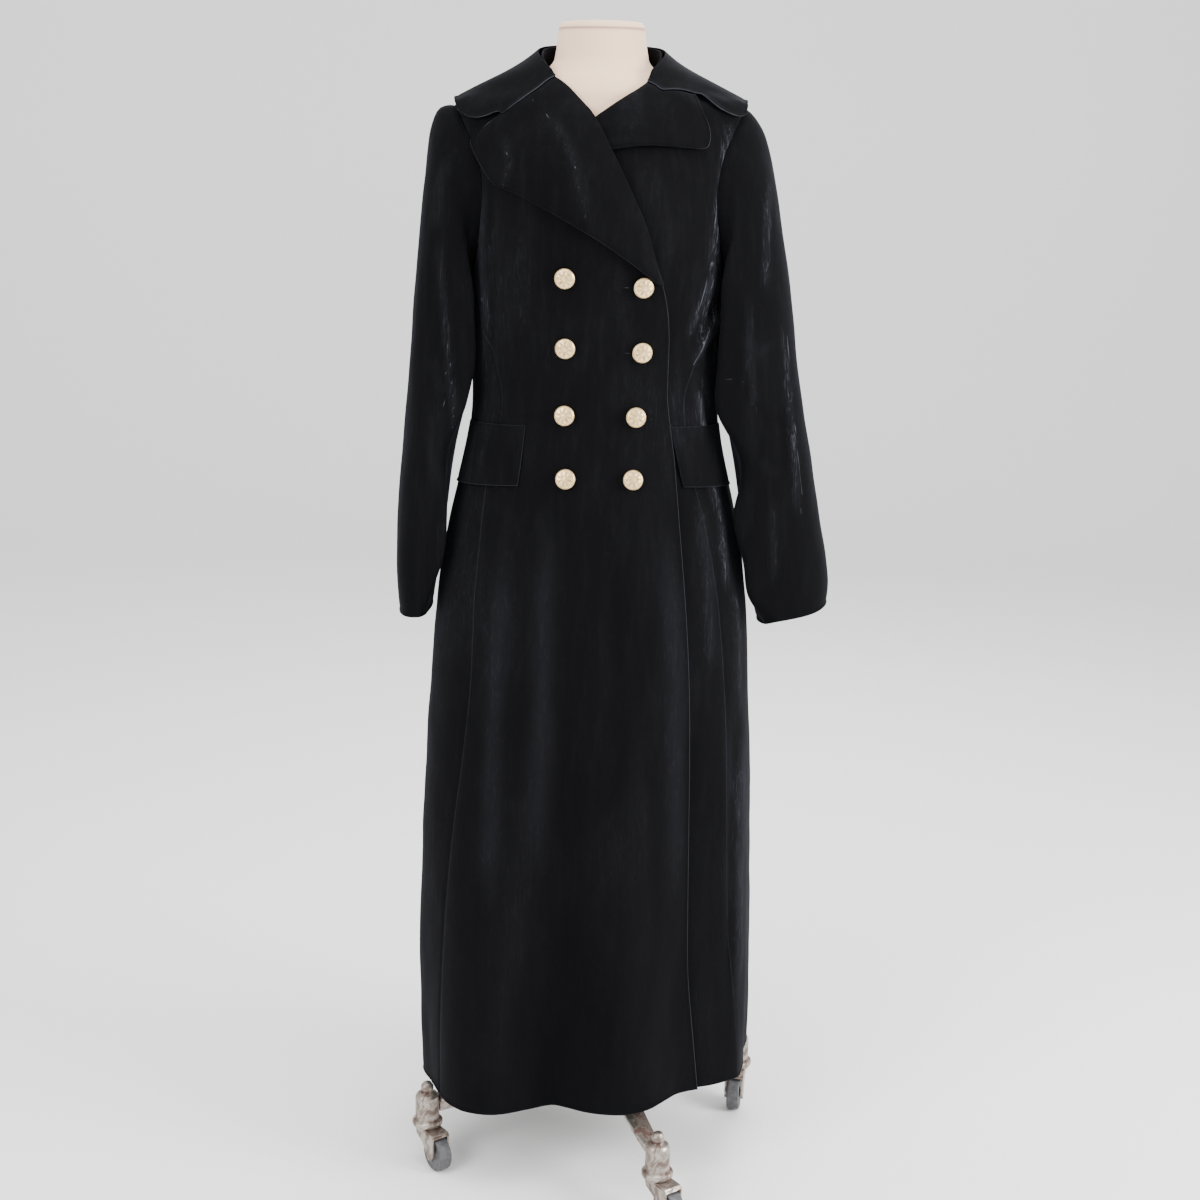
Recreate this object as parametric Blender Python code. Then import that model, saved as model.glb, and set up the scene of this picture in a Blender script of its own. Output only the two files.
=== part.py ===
"""Long double-breasted velvet coat on a limbless dress form with a caster stand.

Units are metres, +Z is up and the coat's front faces -Y. Right and left are the wearer's,
so the right side lies at -X. Every piece of cloth is a wall of one thickness whose outer
face is worked out from a surface round the body: a ring at each height, given by its
half-widths and depths, with upright folds that fade out towards the waist.
"""
import math
from collections import namedtuple

import bmesh
import bpy
from mathutils import Matrix, Vector

# Cloth: wall, gap at seams, gap under what lies on a panel, and the least gap anywhere
WALL = 0.002
SEAM = 0.0003
LIE = 0.0024
TOUCH = 0.0005
TOLERANCE = 0.0001

# Heights above the floor
HEM = 0.120
WAIST = 1.040
NECKLINE = 1.436
SHOULDER_POINT = 1.393
HEM_TILT = 0.060
HEM_TILT_TOP = 0.38

# Body surface, half-widths to each side and depths to front and back at each height
Ring = namedtuple("Ring", "height right left front back corner")
BODY_RINGS = (
    Ring(0.060, 0.2260, 0.2130, 0.168, 0.176, 2.8),
    Ring(0.120, 0.2290, 0.2140, 0.168, 0.175, 2.8),
    Ring(0.250, 0.2325, 0.2145, 0.165, 0.172, 2.7),
    Ring(0.400, 0.2290, 0.2142, 0.158, 0.165, 2.6),
    Ring(0.550, 0.2225, 0.2105, 0.150, 0.158, 2.5),
    Ring(0.700, 0.2120, 0.2035, 0.140, 0.150, 2.4),
    Ring(0.800, 0.2020, 0.1955, 0.132, 0.143, 2.4),
    Ring(0.870, 0.1900, 0.1840, 0.124, 0.135, 2.3),
    Ring(0.930, 0.1765, 0.1700, 0.115, 0.122, 2.3),
    Ring(0.985, 0.1640, 0.1577, 0.106, 0.104, 2.3),
    Ring(1.040, 0.1590, 0.1545, 0.102, 0.092, 2.3),
    Ring(1.110, 0.1590, 0.1555, 0.108, 0.093, 2.3),
    Ring(1.180, 0.1600, 0.1580, 0.120, 0.102, 2.2),
    Ring(1.240, 0.1630, 0.1620, 0.127, 0.110, 2.2),
    Ring(1.300, 0.1680, 0.1670, 0.121, 0.114, 2.2),
    Ring(1.340, 0.1740, 0.1730, 0.109, 0.112, 2.2),
    Ring(1.370, 0.1820, 0.1810, 0.096, 0.104, 2.1),
    Ring(1.393, 0.1800, 0.1800, 0.085, 0.094, 2.0),
    Ring(1.402, 0.1600, 0.1600, 0.081, 0.089, 1.9),
    Ring(1.412, 0.1320, 0.1320, 0.077, 0.083, 1.9),
    Ring(1.424, 0.1040, 0.1040, 0.072, 0.077, 1.9),
    Ring(1.436, 0.0840, 0.0840, 0.067, 0.072, 2.0),
    Ring(1.452, 0.0740, 0.0740, 0.064, 0.069, 2.0),
    Ring(1.480, 0.0715, 0.0715, 0.062, 0.067, 2.0),
)

# Upright folds of the skirt, as angles from centre front towards the wearer's left
Fold = namedtuple("Fold", "angle spread depth top")
SKIRT_FOLDS = (
    Fold(-43, 20, 0.020, 0.80),
    Fold(-18, 19, -0.023, 0.86),
    Fold(14, 18, 0.014, 0.90),
    Fold(44, 21, -0.026, 0.82),
    Fold(66, 13, 0.006, 0.60),
    Fold(-70, 14, -0.008, 0.55),
    Fold(98, 16, 0.010, 0.70),
    Fold(120, 14, -0.016, 0.80),
    Fold(143, 16, 0.018, 0.86),
    Fold(166, 14, -0.015, 0.78),
    Fold(-170, 16, 0.016, 0.84),
    Fold(-146, 15, -0.018, 0.80),
    Fold(-122, 15, 0.015, 0.76),
    Fold(-98, 14, -0.010, 0.66),
)

# Heights of the rows of points, hem to neckline
ROWS = (
    0.120, 0.200, 0.300, 0.400, 0.500, 0.590, 0.670, 0.740, 0.800, 0.850, 0.895, 0.935,
    0.975, 1.010, 1.045, 1.085, 1.125, 1.165, 1.200, 1.230, 1.260, 1.290, 1.318, 1.342,
    1.364, 1.380, 1.393, 1.403, 1.413, 1.425, 1.436,
)

# Side-front and side-back seams, as angles at each height
SeamRow = namedtuple("SeamRow", "height front_right front_left back")
SEAMS = (
    SeamRow(0.06, -61.0, 66.0, 122.0),
    SeamRow(0.40, -59.0, 60.0, 121.0),
    SeamRow(0.65, -55.0, 61.0, 120.0),
    SeamRow(0.86, -58.0, 58.0, 119.0),
    SeamRow(0.93, -60.0, 56.0, 118.0),
    SeamRow(1.04, -57.0, 54.0, 117.0),
    SeamRow(1.20, -58.0, 58.0, 116.0),
    SeamRow(1.50, -58.0, 58.0, 116.0),
)

# Armhole: an upright oval seen from the side
ARM_CENTRE_HEIGHT = 1.2865
ARM_HALF_HEIGHT = 0.1065
ARM_CENTRE_DEPTH = 0.004
ARM_FRONT = 0.070
ARM_BACK = 0.074
ARM_SEAM_HEIGHT = 1.200

# Edge of the overlapping front, sideways place at each height
EdgeRow = namedtuple("EdgeRow", "height across")
RIGHT_FRONT_EDGE = (
    EdgeRow(0.060, 0.1640),
    EdgeRow(0.150, 0.1600),
    EdgeRow(0.265, 0.1455),
    EdgeRow(0.470, 0.1330),
    EdgeRow(0.673, 0.1220),
    EdgeRow(0.922, 0.0995),
    EdgeRow(0.984, 0.0931),
    EdgeRow(1.046, 0.0850),
    EdgeRow(1.131, 0.0848),
    EdgeRow(1.178, 0.0777),
    EdgeRow(1.215, 0.0662),
    EdgeRow(1.250, 0.0557),
    EdgeRow(1.283, 0.0408),
    EdgeRow(1.337, 0.0137),
    EdgeRow(1.377, -0.0083),
    EdgeRow(1.414, -0.0388),
    EdgeRow(1.425, -0.0538),
    EdgeRow(1.440, -0.0680),
)
LEFT_FRONT_EDGE = (
    EdgeRow(0.060, -0.0750),
    EdgeRow(1.200, -0.0740),
    EdgeRow(1.300, -0.0700),
    EdgeRow(1.335, -0.0520),
    EdgeRow(1.377, -0.0083),
    EdgeRow(1.402, 0.0270),
    EdgeRow(1.420, 0.0540),
    EdgeRow(1.440, 0.0680),
)

# Lift of the overlapping front over what lies under it
OVERLAP_LIFT = 0.0062
CROSSING_LIFT = 0.0100
LIFT_START = 0.070
LIFT_FULL = 0.012

# Lapels: the outer edge across and up for each height of the roll line, break point first
LapelRow = namedtuple("LapelRow", "height across edge_height")
RIGHT_LAPEL = (
    LapelRow(1.186, 0.0655, 1.1885),
    LapelRow(1.200, 0.0500, 1.2020),
    LapelRow(1.230, 0.0050, 1.2335),
    LapelRow(1.260, -0.0500, 1.2640),
    LapelRow(1.290, -0.0960, 1.2885),
    LapelRow(1.318, -0.1230, 1.3000),
    LapelRow(1.342, -0.1390, 1.3200),
    LapelRow(1.364, -0.1475, 1.3352),
    LapelRow(1.393, -0.1521, 1.3494),
    LapelRow(1.413, -0.1378, 1.3646),
    LapelRow(1.425, -0.1152, 1.3764),
)
LEFT_LAPEL = (
    LapelRow(1.343, -0.0250, 1.3330),
    LapelRow(1.353, 0.0150, 1.3390),
    LapelRow(1.366, 0.0640, 1.3450),
    LapelRow(1.380, 0.1030, 1.3430),
    LapelRow(1.391, 0.1240, 1.3440),
    LapelRow(1.402, 0.1285, 1.3600),
    LapelRow(1.410, 0.1200, 1.3850),
    LapelRow(1.420, 0.1120, 1.4000),
)
LAPEL_PUFF = 0.0050
LAPEL_COLUMNS = 6
LAPEL_FREE_WIDTH = 0.04

# Gorge seams between collar and lapel, from the roll line out to the notch
GorgePoint = namedtuple("GorgePoint", "across height")
RIGHT_GORGE = (
    GorgePoint(-0.0538, 1.4253),
    GorgePoint(-0.0773, 1.4030),
    GorgePoint(-0.0962, 1.3915),
    GorgePoint(-0.1152, 1.3790),
)
LEFT_GORGE = (
    GorgePoint(0.0540, 1.4200),
    GorgePoint(0.0700, 1.4070),
    GorgePoint(0.0900, 1.4060),
    GorgePoint(0.1120, 1.4030),
)

# Free lower edge of each collar leaf, from the notch out to the tip
RIGHT_LEAF = (
    GorgePoint(-0.1215, 1.3814),
    GorgePoint(-0.1396, 1.3753),
    GorgePoint(-0.1564, 1.3762),
    GorgePoint(-0.1690, 1.3850),
)
LEFT_LEAF = (
    GorgePoint(0.1200, 1.4020),
    GorgePoint(0.1400, 1.3890),
    GorgePoint(0.1620, 1.3810),
    GorgePoint(0.1720, 1.3850),
)

# Collar: the roll line at each angle, and the place of the fall's outer edge
CollarRow = namedtuple("CollarRow", "roll_angle roll_height across depth height")
COLLAR_HALF = (
    CollarRow(49, 1.4330, 0.1800, -0.0150, 1.3990),
    CollarRow(60, 1.4410, 0.1815, 0.0060, 1.4020),
    CollarRow(74, 1.4500, 0.1745, 0.0300, 1.4000),
    CollarRow(90, 1.4580, 0.1580, 0.0540, 1.3930),
    CollarRow(108, 1.4630, 0.1320, 0.0800, 1.3800),
    CollarRow(126, 1.4660, 0.1000, 0.1010, 1.3660),
    CollarRow(144, 1.4680, 0.0660, 0.1140, 1.3550),
    CollarRow(162, 1.4690, 0.0320, 0.1200, 1.3490),
)
COLLAR_BACK = CollarRow(180, 1.4690, 0.0000, 0.1220, 1.3470)
COLLAR_STAND_ANGLE = 62
COLLAR_COLUMNS = 10
COLLAR_ROLL_GAP = 0.0050
COLLAR_BOW = 0.0040

# Pocket flaps
FLAP_TOP = 1.010
FLAP_DROP = 0.075
FLAP_INNER = 0.088
FLAP_EDGE_GAP = 0.0040
FLAP_ANGLE = 82
FLAP_SAG = 0.008
FLAP_SEAM_GAP = 0.0008

# Sleeves: the inner and outer line of the tube seen from the front, from the armhole down,
# its place and half-width from front to back, and how far its front fold swings inwards
SleeveRow = namedtuple("SleeveRow", "inner inner_height outer outer_height depth half_depth swing")
SLEEVE_RIGHT = (
    SleeveRow(0.1610, 1.1765, 0.1980, 1.3890, 0.0030, 0.0720, 0.001),
    SleeveRow(0.1640, 1.1715, 0.2085, 1.3700, 0.0020, 0.0730, 0.006),
    SleeveRow(0.1670, 1.1640, 0.2140, 1.3390, 0.0005, 0.0735, 0.014),
    SleeveRow(0.1685, 1.1530, 0.2190, 1.2960, -0.0010, 0.0735, 0.025),
    SleeveRow(0.1685, 1.1380, 0.2240, 1.2430, -0.0020, 0.0730, 0.034),
    SleeveRow(0.1675, 1.1130, 0.2305, 1.1800, -0.0035, 0.0720, 0.038),
    SleeveRow(0.1660, 1.0750, 0.2370, 1.1050, -0.0050, 0.0700, 0.040),
    SleeveRow(0.1670, 1.0300, 0.2415, 1.0350, -0.0070, 0.0685, 0.030),
    SleeveRow(0.1810, 0.9680, 0.2470, 0.9700, -0.0090, 0.0665, 0.012),
    SleeveRow(0.1905, 0.9000, 0.2540, 0.9000, -0.0110, 0.0650, 0.026),
    SleeveRow(0.1995, 0.8350, 0.2570, 0.8350, -0.0125, 0.0640, 0.028),
    SleeveRow(0.2075, 0.7850, 0.2552, 0.7850, -0.0135, 0.0630, 0.014),
    SleeveRow(0.2115, 0.7600, 0.2530, 0.7570, -0.0140, 0.0620, 0.006),
)
SLEEVE_LEFT = (
    SleeveRow(0.1590, 1.1765, 0.1900, 1.3830, 0.0030, 0.0720, 0.001),
    SleeveRow(0.1620, 1.1715, 0.1995, 1.3690, 0.0020, 0.0725, 0.006),
    SleeveRow(0.1650, 1.1640, 0.2090, 1.3430, 0.0005, 0.0725, 0.014),
    SleeveRow(0.1665, 1.1530, 0.2180, 1.3060, -0.0010, 0.0720, 0.028),
    SleeveRow(0.1665, 1.1380, 0.2275, 1.2540, -0.0025, 0.0705, 0.038),
    SleeveRow(0.1655, 1.1130, 0.2385, 1.1880, -0.0045, 0.0680, 0.042),
    SleeveRow(0.1640, 1.0700, 0.2505, 1.1080, -0.0070, 0.0650, 0.047),
    SleeveRow(0.1640, 1.0200, 0.2620, 1.0330, -0.0100, 0.0625, 0.050),
    SleeveRow(0.1760, 0.9600, 0.2735, 0.9650, -0.0130, 0.0605, 0.022),
    SleeveRow(0.1870, 0.8900, 0.2870, 0.8950, -0.0160, 0.0585, 0.050),
    SleeveRow(0.1960, 0.8300, 0.2985, 0.8380, -0.0180, 0.0570, 0.044),
    SleeveRow(0.2045, 0.7800, 0.3025, 0.7980, -0.0195, 0.0560, 0.040),
    SleeveRow(0.2130, 0.7480, 0.3015, 0.7740, -0.0200, 0.0550, 0.015),
)
ARMHOLE_FADE = (0.80, 0.56, 0.34, 0.16, 0.05)
# The swing is greatest this far inside the front of the tube
SWING_LEAN = math.radians(13.0)

# Buttons: radius and height of the turned outline, and the places of the four rows
BUTTON_SIDES = 12
BUTTON_PROFILE = (
    (0.0030, 0.0004),
    (0.0030, 0.0026),
    (0.0118, 0.0030),
    (0.0125, 0.0045),
    (0.0108, 0.0070),
    (0.0060, 0.0090),
)
ButtonRow = namedtuple("ButtonRow", "height right_column left_column left_height")
BUTTONS = (
    ButtonRow(1.193, -0.0392, 0.0522, 1.183),
    ButtonRow(1.108, -0.0384, 0.0525, 1.104),
    ButtonRow(1.024, -0.0387, 0.0468, 1.023),
    ButtonRow(0.946, -0.0367, 0.0445, 0.946),
)

# Dress form
FORM_BOTTOM = 0.800
NECK_TOP = 1.494
FormRow = namedtuple("FormRow", "height clearance")
FORM_CLEARANCE = (
    FormRow(0.800, 0.018),
    FormRow(0.930, 0.010),
    FormRow(1.040, 0.006),
    FormRow(1.180, 0.008),
    FormRow(1.340, 0.008),
    FormRow(1.393, 0.0065),
    FormRow(1.412, 0.0040),
    FormRow(1.424, 0.005),
    FormRow(1.436, 0.010),
    FormRow(1.452, 0.0145),
    FormRow(1.480, 0.0165),
)
SHOULDER_CONTACT = 0.0007
FORM_SIDES = 24

# Stand
POLE_RADIUS = 0.016
HUB_TOP = 0.205
HUB_PROFILE = (
    (0.024, 0.112),
    (0.032, 0.118),
    (0.035, 0.124),
    (0.035, 0.172),
    (0.029, 0.182),
    (0.022, 0.190),
    (0.021, HUB_TOP),
)
CASTER_REACH = 0.235
CASTER_TURN = 23
LegRow = namedtuple("LegRow", "along top half_width deep")
LEG_ROWS = (
    LegRow(0.0353, 0.160, 0.018, 0.042),
    LegRow(0.0750, 0.152, 0.017, 0.036),
    LegRow(0.1200, 0.130, 0.016, 0.030),
    LegRow(0.1600, 0.106, 0.014, 0.026),
    LegRow(0.1950, 0.096, 0.012, 0.023),
    LegRow(0.2185, 0.093, 0.011, 0.022),
)
LEG_FLANGE = 0.006
LEG_WEB = 0.004
SOCKET_FOOT = 0.0550
SOCKET_PROFILE = (
    (0.0195, SOCKET_FOOT),
    (0.0205, 0.0570),
    (0.0205, 0.0620),
    (0.0160, 0.0645),
    (0.0160, 0.0960),
    (0.0135, 0.1000),
    (0.0070, 0.1025),
    (0.0085, 0.1070),
    (0.0085, 0.1110),
    (0.0055, 0.1155),
)
TRAIL = 0.027
TRAIL_DIRECTIONS = {"front": -55, "left": -100, "back": -55, "right": -55}
WHEEL_RADIUS = 0.024
WHEEL_WIDTH = 0.018
WHEEL_SIDES = 16
WHEEL_RECESS = 0.0018
AXLE_RADIUS = 0.003
BORE_RADIUS = 0.0034
FORK_WALL = 0.003
FORK_INNER = 0.0205
TURNED_SIDES = 14

# Finishes: colour, roughness, metallic
FINISHES = {
    "velvet": ((0.010, 0.010, 0.014), 0.90, 0.0),
    "antique_gold": ((0.560, 0.400, 0.190), 0.38, 1.0),
    "linen": ((0.780, 0.700, 0.600), 0.85, 0.0),
    "cast_metal": ((0.330, 0.300, 0.270), 0.42, 1.0),
    "wheel_grey": ((0.210, 0.200, 0.190), 0.55, 0.0),
}


def clear_scene():
    """Remove every object that is in the scene."""
    for item in list(bpy.data.objects):
        bpy.data.objects.remove(item, do_unlink=True)


def own_finish(name, finish_name):
    """Return a material of an object's own, in the given finish."""
    colour, roughness, metallic = FINISHES[finish_name]
    material = bpy.data.materials.new(name + "_" + finish_name)
    material.use_nodes = True
    shader = material.node_tree.nodes["Principled BSDF"]
    shader.inputs["Base Color"].default_value = (*colour, 1.0)
    shader.inputs["Roughness"].default_value = roughness
    shader.inputs["Metallic"].default_value = metallic
    return material


def add_object(name, mesh, finish_name, angle=40):
    """Put a mesh in the scene under a name, smooth except at edges sharper than the angle."""
    mesh.materials.append(own_finish(name, finish_name))
    mesh.shade_smooth()
    mesh.set_sharp_from_angle(angle=math.radians(angle))
    item = bpy.data.objects.new(name, mesh)
    bpy.context.scene.collection.objects.link(item)
    return item


def eased(value):
    """Ease a share from 0 to 1, held at both ends."""
    share = min(max(value, 0.0), 1.0)
    return share * share * (3.0 - 2.0 * share)


def mixed(first, second, share):
    """Mix two numbers or vectors."""
    return first * (1.0 - share) + second * share


def read_row(table, key, column):
    """Read a column at a height between the rows of a table, on a curve that never overshoots."""
    heights = [getattr(row, "height") for row in table]
    values = [getattr(row, column) for row in table]
    if key <= heights[0]:
        return values[0]
    if key >= heights[-1]:
        return values[-1]
    low = max(i for i, height in enumerate(heights) if height <= key)

    def secant(i):
        return (values[i + 1] - values[i]) / (heights[i + 1] - heights[i])

    def slope(i):
        if i == 0:
            return secant(0)
        if i == len(heights) - 1:
            return secant(i - 1)
        before = secant(i - 1)
        after = secant(i)
        if before * after <= 0.0:
            return 0.0
        return 2.0 * before * after / (before + after)

    step = heights[low + 1] - heights[low]
    t = (key - heights[low]) / step
    start = values[low] * (2 * t ** 3 - 3 * t ** 2 + 1)
    end = values[low + 1] * (3 * t ** 2 - 2 * t ** 3)
    start_slope = slope(low) * step * (t ** 3 - 2 * t ** 2 + t)
    end_slope = slope(low + 1) * step * (t ** 3 - t ** 2)
    return start + end + start_slope + end_slope


def ring_radius(angle, height):
    """Distance of the body surface from the pole at an angle from centre front, in degrees."""
    across = math.sin(math.radians(angle))
    along = math.cos(math.radians(angle))
    width = read_row(BODY_RINGS, height, "left" if across > 0 else "right")
    depth = read_row(BODY_RINGS, height, "front" if along > 0 else "back")
    corner = read_row(BODY_RINGS, height, "corner")
    total = (abs(across) / width) ** corner + (abs(along) / depth) ** corner
    return total ** (-1.0 / corner)


def fold_depth(angle, height):
    """How far the skirt's folds stand out at an angle and a height."""
    total = 0.0
    for fold in SKIRT_FOLDS:
        away = (angle - fold.angle + 180.0) % 360.0 - 180.0
        if abs(away) < fold.spread and height < fold.top:
            crest = 0.5 + 0.5 * math.cos(math.pi * away / fold.spread)
            fade = eased((fold.top - height) / (fold.top - HEM))
            total += fold.depth * crest * fade
    return total


def body_point(angle, height):
    """Point of the body surface at an angle and a height."""
    radius = ring_radius(angle, height) + fold_depth(angle, height)
    turn = math.radians(angle)
    return Vector((radius * math.sin(turn), -radius * math.cos(turn), height))


def body_normal(angle, height):
    """Outward direction of the body surface."""
    around = body_point(angle + 0.5, height) - body_point(angle - 0.5, height)
    up = body_point(angle, height + 0.002) - body_point(angle, height - 0.002)
    return around.cross(up).normalized()


def cloth_point(angle, height, lift=0.0):
    """Point at a lift above the body surface."""
    return body_point(angle, height) + body_normal(angle, height) * lift


def angle_at(across, height):
    """Angle on the front of the body whose point lies that far across."""
    width = read_row(BODY_RINGS, height, "left" if across > 0 else "right")
    depth = read_row(BODY_RINGS, height, "front")
    corner = read_row(BODY_RINGS, height, "corner")
    share = min(abs(across) / width, 0.9999)
    forward = depth * (1.0 - share ** corner) ** (1.0 / corner)
    return math.degrees(math.atan2(across, forward))


def across_at(angle, height):
    """How far across the body a point at an angle lies."""
    return ring_radius(angle, height) * math.sin(math.radians(angle))


def height_at(angle, reach):
    """Height on the shoulders where the body surface has shrunk to a reach."""
    low = 1.34
    high = 1.46
    for _ in range(40):
        middle = 0.5 * (low + high)
        if ring_radius(angle, middle) > reach:
            low = middle
        else:
            high = middle
    return 0.5 * (low + high)


def hem_height(angle, height):
    """Lower the rows near the hem towards the wearer's right."""
    share = eased((HEM_TILT_TOP - height) / (HEM_TILT_TOP - HEM))
    across = across_at(angle, height)
    return height + HEM_TILT * across * share


def overlap_lift(angle, height):
    """Lift of the overlapping front, which rises over the edge of the one below it."""
    across = across_at(angle, height)
    edge = read_row(LEFT_FRONT_EDGE, height, "across")
    share = eased((across - edge + LIFT_START) / (LIFT_START - LIFT_FULL))
    crossing = eased((height - 1.25) / 0.06)
    top_fade = 1.0 - eased((height - 1.377) / 0.035)
    return mixed(OVERLAP_LIFT, CROSSING_LIFT, crossing) * share * top_fade


def no_lift(angle, height):
    """Lift of the front that lies next to the form."""
    return 0.0


def seam_gap(height):
    """Half of the seam gap as an angle at a height, a little over for the turn of the wall."""
    return math.degrees(0.6 * SEAM / read_row(BODY_RINGS, height, "front"))


def armhole_angle(height, front):
    """Angle of the armhole's edge at a height, on the front or the back, for the left side."""
    share = min(max((height - ARM_CENTRE_HEIGHT) / ARM_HALF_HEIGHT, -1.0), 1.0)
    turn = math.acos(share)
    return armhole_place(turn if front else -turn)[0]


def armhole_place(turn):
    """Angle and height on the armhole, left side; turn runs from the shoulder to the front."""
    height = ARM_CENTRE_HEIGHT + ARM_HALF_HEIGHT * math.cos(turn)
    reach = ARM_FRONT if math.sin(turn) > 0 else ARM_BACK
    depth = ARM_CENTRE_DEPTH * abs(math.cos(turn)) - reach * math.sin(turn)
    width = read_row(BODY_RINGS, height, "left")
    thick = read_row(BODY_RINGS, height, "front" if depth < 0 else "back")
    corner = read_row(BODY_RINGS, height, "corner")
    share = min(abs(depth) / thick, 0.9999)
    across = width * (1.0 - share ** corner) ** (1.0 / corner)
    return math.degrees(math.atan2(across, -depth)), height


def grid_normals(grid, closed):
    """Outward directions of a grid of points; a closed grid joins its last column to its first."""
    rows = len(grid)
    columns = len(grid[0])
    normals = []
    for j in range(rows):
        line = []
        for i in range(columns):
            if closed:
                after = grid[j][(i + 1) % columns]
                before = grid[j][i - 1]
            else:
                after = grid[j][min(i + 1, columns - 1)]
                before = grid[j][max(i - 1, 0)]
            above = grid[min(j + 1, rows - 1)][i]
            below = grid[max(j - 1, 0)][i]
            line.append((after - before).cross(above - below).normalized())
        normals.append(line)
    return normals


def wall_mesh(name, outer, inner, closed=False):
    """Closed wall between an outer and an inner grid of points."""
    rows = len(outer)
    columns = len(outer[0])
    bm = bmesh.new()
    out_verts = [[bm.verts.new(point) for point in line] for line in outer]
    in_verts = [[bm.verts.new(point) for point in line] for line in inner]
    last = columns if closed else columns - 1
    for j in range(rows - 1):
        for i in range(last):
            k = (i + 1) % columns
            bm.faces.new((out_verts[j][i], out_verts[j][k], out_verts[j + 1][k], out_verts[j + 1][i]))
            bm.faces.new((in_verts[j][i], in_verts[j + 1][i], in_verts[j + 1][k], in_verts[j][k]))
    for i in range(last):
        k = (i + 1) % columns
        bm.faces.new((in_verts[0][i], in_verts[0][k], out_verts[0][k], out_verts[0][i]))
        bm.faces.new((in_verts[-1][k], in_verts[-1][i], out_verts[-1][i], out_verts[-1][k]))
    if not closed:
        for j in range(rows - 1):
            bm.faces.new((in_verts[j + 1][0], in_verts[j][0], out_verts[j][0], out_verts[j + 1][0]))
            bm.faces.new((in_verts[j][-1], in_verts[j + 1][-1], out_verts[j + 1][-1], out_verts[j][-1]))
    bmesh.ops.recalc_face_normals(bm, faces=bm.faces)
    mesh = bpy.data.meshes.new(name)
    bm.to_mesh(mesh)
    bm.free()
    return mesh


def body_panel(name, places):
    """Wall of cloth from rows of (angle, height, lift) places on the body surface."""
    outer = [[cloth_point(*place) for place in line] for line in places]
    inner = [[cloth_point(a, h, lift - WALL) for a, h, lift in line] for line in places]
    return add_object(name, wall_mesh(name, outer, inner), "velvet")


def free_sheet(name, grid, closed=False):
    """Wall of cloth from a grid of points of its outer face."""
    normals = grid_normals(grid, closed)
    inner = []
    for line, normal_line in zip(grid, normals):
        inner.append([point - normal * WALL for point, normal in zip(line, normal_line)])
    return add_object(name, wall_mesh(name, grid, inner, closed), "velvet")


def seam_angle(height, side, front):
    """Angle of a side seam from centre front, without its sign; it runs into the armhole."""
    column = "back"
    if front:
        column = "front_left" if side > 0 else "front_right"
    plain = abs(read_row(SEAMS, height, column))
    bend = eased((height - WAIST) / (ARM_SEAM_HEIGHT - WAIST))
    return mixed(plain, armhole_angle(ARM_SEAM_HEIGHT, front), bend)


def side_edge(height, side, front):
    """Angle of a front or back panel's outer edge: seam, then armhole, then shoulder seam."""
    step = -seam_gap(height) if front else seam_gap(height)
    if height < ARM_SEAM_HEIGHT - TOLERANCE:
        return side * (seam_angle(height, side, front) + step)
    if height < SHOULDER_POINT:
        return side * armhole_angle(height, front)
    return side * (90.0 + step)


def front_panel(name, side, columns, edge_table, lift):
    """Front panel from the side seam to its own front edge."""
    places = []
    for row_height in ROWS:
        line = []
        outer_angle = side_edge(row_height, side, True)
        inner_angle = angle_at(read_row(edge_table, row_height, "across"), row_height)
        for i in range(columns + 1):
            share = i / columns
            angle = mixed(outer_angle, inner_angle, share)
            height = hem_height(angle, row_height)
            line.append((angle, height, lift(angle, height)))
        places.append(line)
    return body_panel(name, places)


def back_panel(name, side, columns):
    """Half of the back, from the side-back seam to the centre-back seam."""
    places = []
    for row_height in ROWS:
        line = []
        outer_angle = side_edge(row_height, side, False)
        inner_angle = side * (180.0 - seam_gap(row_height))
        for i in range(columns + 1):
            angle = mixed(outer_angle, inner_angle, i / columns)
            line.append((angle, hem_height(angle, row_height), 0.0))
        places.append(line)
    return body_panel(name, places)


def underarm_turns(columns):
    """Turns on the armhole that the side panel's top edge takes, front to back."""
    share = (ARM_SEAM_HEIGHT - ARM_CENTRE_HEIGHT) / ARM_HALF_HEIGHT
    first = math.acos(share)
    last = 2.0 * math.pi - first
    return [mixed(first, last, i / columns) for i in range(columns + 1)]


def side_panel(name, side, columns):
    """Side panel under the arm, whose top edge is the bottom of the armhole."""
    heights = [height for height in ROWS if height < ARM_SEAM_HEIGHT - TOLERANCE]
    turns = underarm_turns(columns)
    tops = [armhole_place(turn) for turn in turns]
    places = []
    for row_height in heights + [ARM_SEAM_HEIGHT]:
        line = []
        gap = seam_gap(row_height)
        start = seam_angle(row_height, side, True) + gap
        end = seam_angle(row_height, side, False) - gap
        bend = eased((row_height - WAIST) / (ARM_SEAM_HEIGHT - WAIST))
        for i in range(columns + 1):
            across = mixed(start, end, i / columns)
            top_share = (tops[i][0] - tops[0][0]) / (tops[-1][0] - tops[0][0])
            angle = mixed(across, mixed(start, end, top_share), bend)
            height = row_height - (ARM_SEAM_HEIGHT - tops[i][1]) * bend
            line.append((side * angle, hem_height(side * angle, height), 0.0))
        places.append(line)
    return body_panel(name, places)


def armhole_turns(columns):
    """Turns of all the points of the armhole, from the shoulder down the front and up the back."""
    heights = [height for height in ROWS if ARM_SEAM_HEIGHT < height < SHOULDER_POINT + TOLERANCE]
    front = [math.acos(min((h - ARM_CENTRE_HEIGHT) / ARM_HALF_HEIGHT, 1.0)) for h in heights]
    back = [2.0 * math.pi - turn for turn in front]
    turns = sorted(front) + underarm_turns(columns) + sorted(back)
    return [turn for turn in turns if turn < 2.0 * math.pi - TOLERANCE]


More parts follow.
